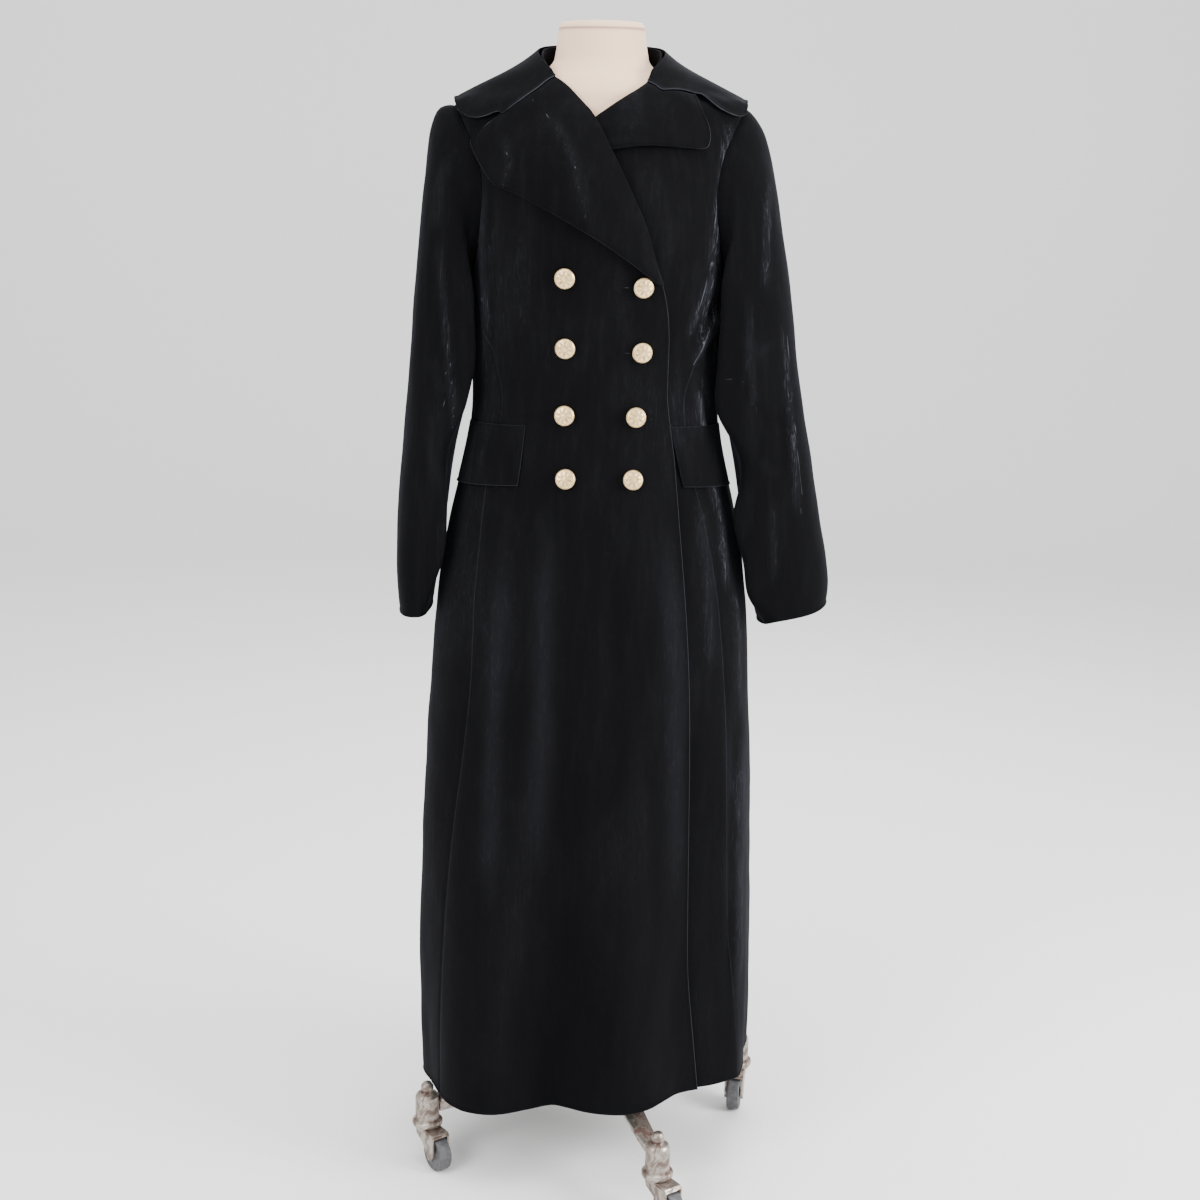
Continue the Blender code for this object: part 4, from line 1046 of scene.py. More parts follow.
class Shader:
    """A node material on the Principled shader, built from expressions."""

    def __init__(self, name):
        self.material = bpy.data.materials.new(name)
        self.material.use_nodes = True
        self.tree = self.material.node_tree
        self.surface = self.tree.nodes["Principled BSDF"]

    def node(self, kind, settings=None, inputs=None):
        """Any node: its settings first, then the values or links of its sockets."""
        node = self.tree.nodes.new(kind)
        for key, value in (settings or {}).items():
            setattr(node, key, value)
        for key, value in (inputs or {}).items():
            socket = node.inputs[key]
            if isinstance(value, Value):
                self.tree.links.new(value.socket, socket)
            else:
                socket.default_value = value
        return node

    def place(self, scale=(1.0, 1.0, 1.0)):
        """Object coordinates, stretched by a scale."""
        coordinates = self.node("ShaderNodeTexCoord").outputs["Object"]
        mapping = self.node("ShaderNodeMapping", None, {0: Value(self, coordinates), 3: scale})
        return Value(self, mapping.outputs[0])

    def noise(self, scale, detail=2.0, roughness=0.5, stretch=(1.0, 1.0, 1.0), distortion=0.0):
        """Noise in the object's space, so many marks to the metre."""
        settings = {"noise_dimensions": "3D"}
        inputs = {"Vector": self.place(stretch), "Scale": scale, "Detail": detail}
        inputs.update({"Roughness": roughness, "Distortion": distortion})
        return Value(self, self.node("ShaderNodeTexNoise", settings, inputs).outputs[0])

    def painted(self, name):
        """A value painted on the mesh."""
        node = self.node("ShaderNodeAttribute", {"attribute_name": name})
        return Value(self, node.outputs["Fac"])

    def mix(self, factor, first, second, blend="MIX"):
        """Mix of two colours."""
        settings = {"data_type": "RGBA", "blend_type": blend}
        first = first if isinstance(first, Value) else tuple(first) + (1.0,)
        second = second if isinstance(second, Value) else tuple(second) + (1.0,)
        node = self.node("ShaderNodeMix", settings, {0: factor, 6: first, 7: second})
        return Value(self, node.outputs[2])

    def bump(self, height, strength, distance):
        """Relief too small for the mesh."""
        inputs = {"Strength": strength, "Distance": distance, "Height": height}
        node = self.node("ShaderNodeBump", None, inputs)
        self.tree.links.new(node.outputs[0], self.surface.inputs["Normal"])

    def vary(self, socket, value):
        """Link what changes over the surface."""
        self.tree.links.new(value.socket, self.surface.inputs[socket])

    def fixed(self, **values):
        """Set what is the same all over; spaces in a socket's name are written as _."""
        for key, value in values.items():
            socket = self.surface.inputs[key.replace("_", " ")]
            if hasattr(value, "__len__"):
                value = tuple(value) + (1.0,)
            socket.default_value = value


def velvet_material(name, painted_light=0.0, edge_highlight=1.0):
    """Black velvet: a dark pile with fine pale marks of pressed pile and painted highlights, and painted
    shade towards the hem.
    """
    shader = Shader(name)
    cloth = colours()
    streak = shader.painted("streak")
    cloud = shader.noise(11.0, 3.0, 0.60, (1.0, 1.0, 0.30), 0.4)
    grain = shader.noise(1300.0, 1.0, 0.5)
    fleck = shader.noise(300.0, 2.0, 0.6, (1.0, 1.0, 0.25))
    long_marks = (shader.noise(135.0, 2.0, 0.55, (1.0, 1.0, 0.060), 0.3) - 0.5).size().below(0.026)
    short_marks = (shader.noise(230.0, 2.0, 0.60, (1.0, 1.0, 0.14), 0.5) - 0.5).size().below(0.040)
    marks = (long_marks * 0.80 + short_marks * 0.38) * fleck.ramped(0.30, 0.60)
    # Painted highlights along the ridges of the creases, drawn as marks of pressed pile
    crushed_and_highlight = streak * (marks * 0.58 + cloud.ramped(0.40, 0.75) * 0.09)
    # Pale nap marks all over; painted_light adds painted light to them, more on the pieces of the
    # wearer's left, the better lit side
    nap = cloud.ramped(0.50, 0.75) * (marks * (0.060 + painted_light * 0.6) + 0.006 + painted_light * 0.12)
    # Painted highlight along the free edges, where the rolled edge catches light
    rim = shader.painted("rim").below(0.0014, 0.0003) * (0.12 + fleck * 0.50) * edge_highlight
    # Painted highlight along the seams
    seam = shader.painted("seam").below(0.0012, 0.0002) * (fleck * 0.12)
    # Painted highlight lines along ridges, and on the lips of the buttonholes
    drawn = (shader.painted("drawn") + (fleck - 0.5) * 0.0007).below(0.0010, 0.0002)
    drawn = drawn * (0.16 + 0.34 * fleck.ramped(0.30, 0.60))
    pile = shader.noise(75.0, 3.0, 0.68, (1.0, 1.0, 0.13)).ramped(0.44, 0.76) * 0.014
    # Painted shade: the pale marks fade towards the hem, as less light reaches the lower coat
    height = Value(shader, shader.node("ShaderNodeSeparateXYZ", None, {0: shader.place()}).outputs[2])
    upper = height.ramped(0.0, 1.15) * 0.85 + 0.15
    # fold is the painted highlight on raised creases
    light = crushed_and_highlight + (nap + pile + 0.003) * upper + shader.painted("fold") * 0.5
    light = (light + rim + seam + drawn).clamped()
    body = shader.mix(cloud.ramped(0.35, 0.75), cloth.velvet, [c * 1.8 for c in cloth.velvet])
    body = shader.mix(grain.ramped(0.25, 0.75) * 0.45, body, [c * 0.3 for c in cloth.velvet])
    shader.vary("Base Color", shader.mix(light, body, cloth.crushed_and_highlight))
    shader.vary("Roughness", 0.95 - light * 0.30)
    shader.fixed(Specular_IOR_Level=0.07, Sheen_Weight=0.030, Sheen_Roughness=0.38)
    shader.fixed(Sheen_Tint=(0.58, 0.63, 0.86))
    shader.bump(grain * 0.4 + fleck * 0.5 + marks * 0.5, 0.40, 0.0006)
    return shader.material


def gold_material():
    """Antique gold: pale rubbed high places over dull brown ground."""
    shader = Shader("antique_gold")
    cloth = colours()
    worn = shader.noise(330.0, 3.0, 0.65)
    mottled = shader.noise(900.0, 2.0, 0.6)
    recess = shader.painted("recess")
    dull = (recess * 0.55 + worn.ramped(0.50, 0.66) * 0.42).clamped()
    shader.vary("Base Color", shader.mix(dull, cloth.gold, (0.20, 0.105, 0.040)))
    shader.vary("Roughness", 0.34 + dull * 0.30)
    shader.vary("Metallic", 0.85 - dull * 0.35)
    shader.bump(mottled, 0.22, 0.0003)
    return shader.material


def form_material():
    """Knit cover of the form, with the pinkish braid along its neck's top edge, and painted shade, nearly
    black, below the neck where the coat hides the form.
    """
    shader = Shader("form_cloth")
    cloth = colours()
    knit = shader.noise(1100.0, 1.0, 0.5, (1.0, 1.0, 0.45))
    soft = shader.noise(14.0, 2.0, 0.5)
    body = shader.mix(knit * 0.35, cloth.form_cloth, [c * 0.80 for c in cloth.form_cloth])
    body = shader.mix(soft.ramped(0.3, 0.8) * 0.25, body, [c * 0.90 for c in cloth.form_cloth])
    body = shader.mix(shader.painted("braid"), body, (0.36, 0.215, 0.165))
    # Painted shade: the form is nearly black where it lies hidden in the coat's shade
    body = shader.mix(shader.painted("painted_torso_shade"), body, (0.020, 0.018, 0.017))
    shader.vary("Base Color", body)
    shader.fixed(Roughness=0.86, Specular_IOR_Level=0.25, Sheen_Weight=0.18, Sheen_Roughness=0.5)
    shader.bump(knit, 0.30, 0.0004)
    return shader.material


def cast_material(name, ruddy):
    """Cast metal: rubbed silvery bronze over a red-brown ground that stays in the recesses."""
    shader = Shader(name)
    cloth = colours()
    patch = shader.noise(55.0, 3.0, 0.62, (1.0, 1.0, 0.8), 0.5)
    pits = shader.noise(520.0, 3.0, 0.65)
    recess = shader.painted("recess")
    low = shader.node("ShaderNodeNewGeometry").outputs["Pointiness"]
    dark = recess * 0.85 + Value(shader, low).below(0.515, 0.485) * 0.35
    dark = (dark + patch.ramped(0.42, 0.62) * ruddy + pits.ramped(0.55, 0.72) * 0.30).clamped()
    shader.vary("Base Color", shader.mix(dark, cloth.cast_metal, cloth.rust))
    shader.vary("Roughness", 0.34 + dark * 0.30)
    shader.vary("Metallic", 0.92 - dark * 0.55)
    shader.bump(pits * 0.7 + patch * 0.5, 0.35, 0.0006)
    return shader.material


def wheel_material():
    """Grey caster wheel with a scuffed tread."""
    shader = Shader("wheel_grey")
    cloth = colours()
    scuff = shader.noise(160.0, 3.0, 0.6)
    body = shader.mix(scuff.ramped(0.4, 0.7), cloth.tyre, [c * 1.7 for c in cloth.tyre])
    shader.vary("Base Color", body)
    shader.vary("Roughness", 0.45 + scuff * 0.25)
    shader.bump(scuff, 0.25, 0.0004)
    return shader.material


# Cloth shells: how much closer seams are drawn, lines beside a border, and widths of its relief
SEAM_CLOSE = 0.0001
RIM_ROUND = 0.22
SEAM_DIP_WIDTH = 0.0042
ROLL_PLACE = 0.0020
ROLL_WIDTH = 0.0016
HOLLOW_PLACE = 0.0060
HOLLOW_WIDTH = 0.0026
# Lift at which a raised crease gets its full painted highlight, and the strength of that highlight
FOLD_HEIGHT = 0.004
FOLD_HIGHLIGHT = 0.10
QUIET_REACH = 0.03
FAR = 0.05
BORDER_LINES = (0.0007, 0.0016, 0.0027, 0.0042, 0.0062)


def sample_lengths(knots, step, bordered):
    """Lengths along a line to sample: evenly in each interval, and closer beside both ends."""
    places = []
    for low, high in zip(knots, knots[1:]):
        count = max(1, int(math.ceil((high - low) / step)))
        places += [low + (high - low) * i / count for i in range(count)]
    places.append(knots[-1])
    if bordered:
        total = knots[-1]
        reach = BORDER_LINES[-1] + 0.4 * step
        places = [p for p in places if p in (0.0, total) or reach < p < total - reach]
        places += list(BORDER_LINES) + [total - away for away in BORDER_LINES]
    return sorted(places)


def finer(points, step, closed=False):
    """Smooth surface through the rows of an array of points, at about that step."""
    rows = len(points)
    if closed:
        points = np.concatenate([points, points[:1]])
        rows += 1
    gaps = np.linalg.norm(np.diff(points, axis=0), axis=2).mean(axis=1)
    knots = np.concatenate([[0.0], np.cumsum(gaps)])
    slopes = np.diff(points, axis=0) / gaps[:, None, None]
    tangents = np.empty_like(points)
    for k in range(1, rows - 1):
        share = gaps[k - 1] / (gaps[k - 1] + gaps[k])
        tangents[k] = slopes[k - 1] * (1.0 - share) + slopes[k] * share
    if closed:
        share = gaps[-1] / (gaps[-1] + gaps[0])
        tangents[0] = slopes[-1] * (1.0 - share) + slopes[0] * share
        tangents[-1] = tangents[0]
    else:
        tangents[0] = slopes[0] * 1.5 - tangents[1] * 0.5 if rows > 2 else slopes[0]
        tangents[-1] = slopes[-1] * 1.5 - tangents[-2] * 0.5 if rows > 2 else slopes[0]
    lines = []
    places = sample_lengths([float(knot) for knot in knots], step, not closed)
    if closed:
        places = places[:-1]
    for place in places:
        k = min(int(np.searchsorted(knots, place, side="right")) - 1, rows - 2)
        t = (place - knots[k]) / gaps[k]
        start = 2 * t ** 3 - 3 * t ** 2 + 1
        lead = (t ** 3 - 2 * t ** 2 + t) * gaps[k]
        trail = (t ** 3 - t ** 2) * gaps[k]
        line = points[k] * start + points[k + 1] * (1.0 - start)
        lines.append(line + tangents[k] * lead + tangents[k + 1] * trail)
    return np.array(lines)


def surface_normals(grid, closed):
    """Outward directions of an array of rows of points."""
    if closed:
        across = np.roll(grid, -1, axis=1) - np.roll(grid, 1, axis=1)
    else:
        across = np.gradient(grid, axis=1)
    up = np.gradient(grid, axis=0)
    normals = np.cross(across, up)
    return normals / np.maximum(np.linalg.norm(normals, axis=2, keepdims=True), 1e-12)


def along_rows(grid, axis):
    """Distance of each point from the first and from the last line along an axis."""
    steps = np.linalg.norm(np.diff(grid, axis=axis), axis=2)
    start = np.zeros_like(np.take(steps, [0], axis=axis))
    first = np.concatenate([start, np.cumsum(steps, axis=axis)], axis=axis)
    return first, np.take(first, [-1], axis=axis) - first


# A crease: its line, width, lift, and the painted highlight (shine) along its ridge
Crease = namedtuple("Crease", "points width depth shine")


def line_share(across, height, points):
    """Nearest distance from points of the cloth to a drawn line, and the share along it."""
    best = np.full(across.shape, 1e9)
    share = np.zeros(across.shape)
    lengths = [0.0]
    for (x0, z0), (x1, z1) in zip(points, points[1:]):
        lengths.append(lengths[-1] + math.hypot(x1 - x0, z1 - z0))
    for k, ((x0, z0), (x1, z1)) in enumerate(zip(points, points[1:])):
        dx, dz = x1 - x0, z1 - z0
        size = dx * dx + dz * dz
        t = np.clip(((across - x0) * dx + (height - z0) * dz) / size, 0.0, 1.0)
        away = np.hypot(across - x0 - t * dx, height - z0 - t * dz)
        near = away < best
        best = np.where(near, away, best)
        share = np.where(near, (lengths[k] + t * math.sqrt(size)) / lengths[-1], share)
    return best, share


def creased(grid, normals, creases, facing):
    """Lift and painted highlight (shine) that the creases drawn on the front (-1) or the back (1) give
    each point.
    """
    lift = np.zeros(grid.shape[:2])
    shine = np.zeros(grid.shape[:2])
    seen = np.clip(normals[:, :, 1] * facing * 2.5 + 0.5, 0.0, 1.0)
    for crease in creases:
        away, share = line_share(grid[:, :, 0], grid[:, :, 2], crease.points)
        body = np.exp(-(away / crease.width) ** 2)
        fade = np.clip(np.minimum(share, 1.0 - share) * 5.0 + 0.12, 0.0, 1.0)
        mark = body * fade * seen
        lift += mark * crease.depth
        shine += mark * crease.shine
    return lift, shine


def soft_noise(grid, scale, stretch):
    """Slow unevenness in space, between -1 and 1."""
    values = np.zeros(grid.shape[:2])
    for j in range(grid.shape[0]):
        for i in range(grid.shape[1]):
            x, y, z = grid[j, i]
            values[j, i] = noise.noise(Vector((x * scale, y * scale, z * scale * stretch)))
    return values


def shell_object(name, grid, normals, thickness, values, closed):
    """Thin closed shell of cloth under a fine grid, with a rounded rim and painted values."""
    rows, columns = grid.shape[:2]
    inner = grid - normals * thickness
    rounded = grid.copy()
    rounded_in = inner.copy()
    lines = [(0, slice(None)), (-1, slice(None))]
    if not closed:
        lines += [(slice(None), 0), (slice(None), -1)]
    for place in lines:
        rounded[place] = grid[place] - normals[place] * thickness * RIM_ROUND
        rounded_in[place] = inner[place] + normals[place] * thickness * RIM_ROUND
    points = np.concatenate([rounded.reshape(-1, 3), rounded_in.reshape(-1, 3)])
    ids = np.arange(rows * columns).reshape(rows, columns)
    count = rows * columns
    faces = []
    last = columns if closed else columns - 1
    for j in range(rows - 1):
        for i in range(last):
            k = (i + 1) % columns
            a, b, c, d = int(ids[j, i]), int(ids[j, k]), int(ids[j + 1, k]), int(ids[j + 1, i])
            faces.append((a, b, c, d))
            faces.append((a + count, d + count, c + count, b + count))
    for i in range(last):
        k = (i + 1) % columns
        a, b = int(ids[0, i]), int(ids[0, k])
        faces.append((a + count, b + count, b, a))
        a, b = int(ids[-1, i]), int(ids[-1, k])
        faces.append((b + count, a + count, a, b))
    if not closed:
        for j in range(rows - 1):
            a, b = int(ids[j, 0]), int(ids[j + 1, 0])
            faces.append((b + count, a + count, a, b))
            a, b = int(ids[j, -1]), int(ids[j + 1, -1])
            faces.append((a + count, b + count, b, a))
    mesh = bpy.data.meshes.new(name)
    mesh.from_pydata([tuple(point) for point in points + np.array(MIDDLE)], [], faces)
    for key, value in values.items():
        layer = mesh.attributes.new(key, "FLOAT", "POINT")
        layer.data.foreach_set("value", np.concatenate([value.ravel(), value.ravel()]).astype(np.float32))
    mesh.update()
    return linked_item(name, mesh)


def cloth_piece(node, coarse, material, seams=(), edges=(), closed=False, creases=(), crumple=1.0,
                body=True, lines=()):
    """Shell of one cut piece: its fine surface, creases, seam dips and rolled edges.

    seams and edges name the borders (top, foot, first, last) that are sewn down or free.
    """
    size = sizes()
    step = size.mesh_step
    grid = finer(np.array([[tuple(p) for p in line] for line in coarse]), step)
    grid = np.transpose(finer(np.transpose(grid, (1, 0, 2)), step, closed), (1, 0, 2))
    normals = surface_normals(grid, closed)
    names = ("first", "last")
    if not closed and (normals[:, :, :2] * grid[:, :, :2]).sum() < 0.0:
        grid = grid[:, ::-1]
        normals = -normals[:, ::-1]
        names = ("last", "first")
    from_foot, from_top = along_rows(grid, 0)
    border = {"top": from_top, "foot": from_foot}
    if not closed:
        border[names[0]], border[names[1]] = along_rows(grid, 1)
    lift, shine = creased(grid, normals, list(creases) + (list(FRONT_CREASES) if body else []), -1)
    if body:
        back_lift, back_shine = creased(grid, normals, BACK_CREASES, 1)
        lift += back_lift
        shine += back_shine
    # Painted highlight on raised creases, stronger the higher they stand
    fold = np.clip(lift / FOLD_HEIGHT, 0.0, 1.0) * FOLD_HIGHLIGHT
    far = np.full(grid.shape[:2], FAR)
    seam = np.minimum.reduce([far] + [border[key] for key in seams])
    rim = np.minimum.reduce([far] + [border[key] for key in edges])
    if crumple:
        quiet = np.clip(np.minimum(seam, rim) / QUIET_REACH, 0.10, 1.0)
        wave = soft_noise(grid, 16.0, 0.55) + 0.5 * soft_noise(grid, 37.0, 0.6)
        lift += wave * size.crumple * crumple * quiet
    if seams:
        lift -= size.seam_dip * np.exp(-(seam / SEAM_DIP_WIDTH) ** 2)
    if edges:
        lift += size.edge_roll * np.exp(-((rim - ROLL_PLACE) / ROLL_WIDTH) ** 2)
        lift -= 0.5 * size.edge_roll * np.exp(-((rim - HOLLOW_PLACE) / HOLLOW_WIDTH) ** 2)
    # Distance to the lines that the velvet paints as highlights
    drawn = far
    for points in lines:
        drawn = np.minimum(drawn, line_share(grid[:, :, 0], grid[:, :, 2], points)[0])
    drawn = np.where(normals[:, :, 1] > 0.2, far, drawn)
    grid = grid + normals * lift[:, :, None]
    places = {"foot": (0, 1), "top": (-1, -2), names[0]: ((slice(None), 0), (slice(None), 1))}
    places[names[1]] = ((slice(None), -1), (slice(None), -2))
    for key in seams:
        outside, inside = places[key]
        pull = grid[outside] - grid[inside]
        grid[outside] += pull / np.linalg.norm(pull, axis=1, keepdims=True) * SEAM_CLOSE
    normals = surface_normals(grid, closed)
    # streak and fold hold the creases' painted highlights; rim, seam and drawn are distances that the
    # velvet turns into painted highlight lines
    values = {"streak": np.clip(shine, 0.0, 1.0), "fold": fold, "rim": rim, "seam": seam, "drawn": drawn}
    item = shell_object(node + "_cloth", grid, normals, size.cloth_thickness, values, closed)
    stand_for(item, material, ROOT_BODY, node)
    return item


def grid_of(places):
    """Points of rows of (angle, height, lift) places on the body surface."""
    return [[cloth_point(*place) for place in line] for line in places]


def dress(item, material):
    """Give a piece its one finish."""
    item.data.materials.clear()
    item.data.materials.append(material)


def stand_for(item, material, body, node):
    """Finish a piece, hang it on the body it rides on, and hide the solid it stands for."""
    dress(item, material)
    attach(item, body)
    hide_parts(node)


# Creases as (across, height) from the pole's axis, seen from the front: soft ridges and troughs, with
# width, lift and painted highlight (shine)
FRONT_CREASES = table(
    Crease,
    (((0.1521, 1.3743), (0.1478, 1.3199), (0.1421, 1.2684), (0.1335, 1.1936)), 0.0050, 0.0012, 0.62),
    (((-0.1402, 1.300), (-0.1403, 1.160), (-0.1429, 1.050)), 0.0060, 0.0030, 0.16),
    (((-0.1290, 1.290), (-0.1300, 1.170), (-0.1330, 1.060)), 0.0065, -0.0028, 0.00),
    (((-0.1290, 1.270), (-0.1330, 1.190), (-0.1380, 1.120)), 0.0030, 0.0006, 0.25),
    (((0.1590, 1.3760), (0.1530, 1.2990), (0.1500, 1.2670)), 0.0042, 0.0010, 0.70),
    (((0.1500, 1.2670), (0.1440, 1.2090), (0.1380, 1.1900)), 0.0046, 0.0018, 0.85),
    (((0.1430, 1.2050), (0.1340, 1.1560), (0.1270, 1.1090)), 0.0046, 0.0026, 0.80),
    (((0.1390, 1.1990), (0.1230, 1.1560), (0.1110, 1.1220)), 0.0042, 0.0030, 0.55),
    (((0.1480, 1.1750), (0.1220, 1.1080)), 0.0055, -0.0034, 0.00),
    (((0.1500, 1.1500), (0.1330, 1.1130), (0.1180, 1.0880)), 0.0048, 0.0032, 0.50),
    (((0.1500, 1.1240), (0.1360, 1.0920)), 0.0050, -0.0030, 0.00),
    (((0.1400, 1.1900), (0.1470, 1.1300), (0.1500, 1.0700)), 0.0040, 0.0010, 0.55),
    (((0.1247, 1.0534), (0.1320, 1.0200), (0.1376, 0.9901)), 0.0040, 0.0026, 0.95),
    (((0.1330, 1.0700), (0.1400, 1.0250)), 0.0034, 0.0010, 0.60),
    (((-0.0919, 1.2287), (-0.0915, 1.1220), (-0.0905, 1.0150)), 0.0026, -0.0013, 0.05),
    (((0.1330, 0.9700), (0.1500, 0.9200), (0.1600, 0.8849), (0.1675, 0.8033)), 0.0048, 0.0022, 0.80),
    (((0.1280, 0.9200), (0.1420, 0.8200), (0.1480, 0.7000)), 0.0085, 0.0022, 0.20),
    (((0.1790, 0.8200), (0.1860, 0.7000), (0.1900, 0.6200)), 0.0050, 0.0016, 0.30),
    (((0.1919, 0.6167), (0.1950, 0.4300), (0.1973, 0.2463)), 0.0060, 0.0032, 0.24),
    (((0.1830, 0.6300), (0.1840, 0.4300), (0.1840, 0.2500)), 0.0060, -0.0032, 0.00),
    (((-0.0600, 0.9000), (-0.0640, 0.7000), (-0.0700, 0.4500)), 0.0140, 0.0022, 0.05),
    (((0.0200, 0.9000), (0.0260, 0.6800), (0.0300, 0.4200)), 0.0150, -0.0022, 0.00),
    (((-0.1150, 0.8600), (-0.1240, 0.6400), (-0.1300, 0.4000)), 0.0120, 0.0024, 0.05),
    (((0.0900, 0.8800), (0.1020, 0.6600), (0.1100, 0.4000)), 0.0130, 0.0026, 0.08),
    (((-0.1200, 1.0250), (-0.0900, 1.0180), (-0.0600, 1.0220)), 0.0060, -0.0018, 0.00),
)
BACK_CREASES = table(
    Crease,
    (((0.0300, 1.0800), (0.0800, 1.0500), (0.1300, 1.0650)), 0.0070, 0.0018, 0.16),
    (((-0.0250, 1.0650), (-0.0800, 1.0400), (-0.1250, 1.0550)), 0.0075, 0.0020, 0.18),
    (((0.0900, 1.3000), (0.1200, 1.2300), (0.1350, 1.1500)), 0.0080, 0.0024, 0.24),
    (((-0.0950, 1.2900), (-0.1180, 1.2200), (-0.1300, 1.1400)), 0.0085, 0.0022, 0.22),
    (((0.0500, 0.9000), (0.0650, 0.6500), (0.0750, 0.3800)), 0.0130, 0.0022, 0.14),
    (((-0.0600, 0.9100), (-0.0700, 0.6600), (-0.0900, 0.3600)), 0.0140, 0.0024, 0.16),
    (((0.1200, 0.8800), (0.1400, 0.6400), (0.1500, 0.4000)), 0.0110, -0.0022, 0.00),
    (((-0.1250, 0.8700), (-0.1350, 0.6200), (-0.1500, 0.3800)), 0.0120, -0.0020, 0.00),
)
# Lines on the cloth as (across, height) seen from the front, painted as thin highlights: here the lips of
# the buttonholes
BUTTONHOLE_LINES = (
    ((0.0263, 1.1801), (0.0388, 1.1827)),
    ((0.0320, 1.1016), (0.0398, 1.1018)),
    ((0.0611, 1.0187), (0.0690, 1.0201)),
    ((0.0582, 0.9391), (0.0655, 0.9404)),
)
# Painted highlight lines along the ridges of the sleeves and fronts
SLEEVE_RIGHT_LINES = (
    ((-0.1931, 1.1563), (-0.1885, 1.1343), (-0.1843, 1.1036), (-0.1807, 1.0765), (-0.1781, 1.0454),
     (-0.1779, 1.0203), (-0.1792, 1.0002)),
    ((-0.1874, 1.0714), (-0.1871, 1.0577), (-0.1890, 1.0402), (-0.1910, 1.0214)),
)
SLEEVE_LEFT_LINES = (
    ((0.2360, 1.1228), (0.2401, 1.0806), (0.2475, 1.0204), (0.2526, 0.9697)),
    ((0.2526, 0.9697), (0.2602, 0.9223), (0.2595, 0.8939)),
    ((0.1517, 1.0681), (0.1717, 1.0671), (0.1932, 1.0599)),
)
FRONT_LEFT_LINES = (
    ((0.1557, 1.3732), (0.1514, 1.3199), (0.1469, 1.2685), (0.1381, 1.2020)),
    ((0.1495, 1.3431), (0.1439, 1.2907), (0.1381, 1.2436)),
    ((0.1377, 1.1930), (0.1327, 1.1532), (0.1290, 1.1106), (0.1252, 1.0714)),
    ((0.1372, 1.2110), (0.1295, 1.1809), (0.1206, 1.1506), (0.1116, 1.1213)),
    ((0.1360, 1.1253), (0.1280, 1.1045), (0.1187, 1.0848)),
    ((0.1437, 1.1650), (0.1414, 1.1164), (0.1438, 1.0772)),
    ((0.1315, 1.0392), (0.1362, 1.0044), (0.1445, 0.9768)),
    ((0.1246, 0.9648), (0.1314, 0.9447), (0.1342, 0.9320)),
    ((0.1542, 0.9348), (0.1618, 0.8891), (0.1696, 0.8403), (0.1765, 0.7832)),
    ((0.1467, 0.9217), (0.1566, 0.8836), (0.1633, 0.8284)),
)
FRONT_RIGHT_LINES = (
    ((-0.1406, 1.1651), (-0.1443, 1.1251), (-0.1530, 1.0736)),
    ((-0.1370, 1.0095), (-0.1470, 0.9706), (-0.1558, 0.9301)),
    ((-0.1598, 0.9062), (-0.1674, 0.8718), (-0.1751, 0.8244)),
)
# Creases of the sleeves and lapels, given the same way, with painted highlights (shine) on their ridges
SLEEVE_RIGHT_CREASES = table(
    Crease,
    (((-0.1949, 1.2300), (-0.1867, 1.1270), (-0.1773, 1.0090)), 0.0040, 0.0024, 0.34),
    (((-0.1850, 1.2200), (-0.1760, 1.1300), (-0.1690, 1.0300)), 0.0060, -0.0026, 0.00),
    (((-0.2080, 1.0900), (-0.1960, 1.0550), (-0.1820, 1.0450)), 0.0070, 0.0010, 0.00),
    (((-0.2120, 1.0000), (-0.2010, 0.9500), (-0.1900, 0.9150)), 0.0070, 0.0010, 0.00),
    (((-0.1980, 0.9000), (-0.2040, 0.8400), (-0.2050, 0.7900)), 0.0080, -0.0018, 0.00),
    (((-0.1850, 1.3300), (-0.1960, 1.2850), (-0.2010, 1.2400)), 0.0070, 0.0018, 0.08),
)
SLEEVE_LEFT_CREASES = table(
    Crease,
    (((0.2046, 1.3094), (0.2042, 1.2182), (0.2060, 1.1700)), 0.0042, 0.0014, 0.40),
    (((0.2286, 1.1328), (0.2400, 1.0400), (0.2489, 0.9619), (0.2551, 0.9006)), 0.0034, 0.0018, 0.72),
    (((0.2170, 1.1000), (0.2280, 1.0200), (0.2360, 0.9400)), 0.0065, -0.0022, 0.00),
    (((0.1847, 1.1660), (0.1873, 1.0902), (0.1960, 1.0400), (0.2026, 1.0058)), 0.0045, 0.0018, 0.16),
    (((0.2232, 0.9187), (0.2250, 0.8600), (0.2272, 0.8090)), 0.0050, 0.0014, 0.18),
    (((0.1760, 1.1200), (0.1990, 1.1000), (0.2200, 1.1120)), 0.0065, 0.0009, 0.00),
    (((0.1900, 1.0400), (0.2120, 1.0120), (0.2360, 1.0200)), 0.0070, -0.0022, 0.00),
    (((0.2000, 0.9700), (0.2210, 0.9500), (0.2480, 0.9620)), 0.0070, 0.0009, 0.00),
)
LAPEL_CREASES = table(
    Crease,
    (((-0.1162, 1.3592), (-0.1113, 1.3406), (-0.1076, 1.3208), (-0.1148, 1.2959)), 0.0040, 0.0016, 0.20),
    (((-0.0700, 1.3800), (-0.0533, 1.3692), (-0.0400, 1.3486), (-0.0296, 1.3232), (-0.0251, 1.2988),
      (-0.0163, 1.2637)), 0.0070, 0.0016, 0.15),
)
# Painted highlight lines along the lapel's ridges
LAPEL_LINES = (
    ((-0.1162, 1.3592), (-0.1113, 1.3406), (-0.1076, 1.3208), (-0.1148, 1.2959)),
    ((-0.0812, 1.3976), (-0.0533, 1.3692), (-0.0400, 1.3486), (-0.0296, 1.3232), (-0.0251, 1.2988),
     (-0.0163, 1.2637)),
)


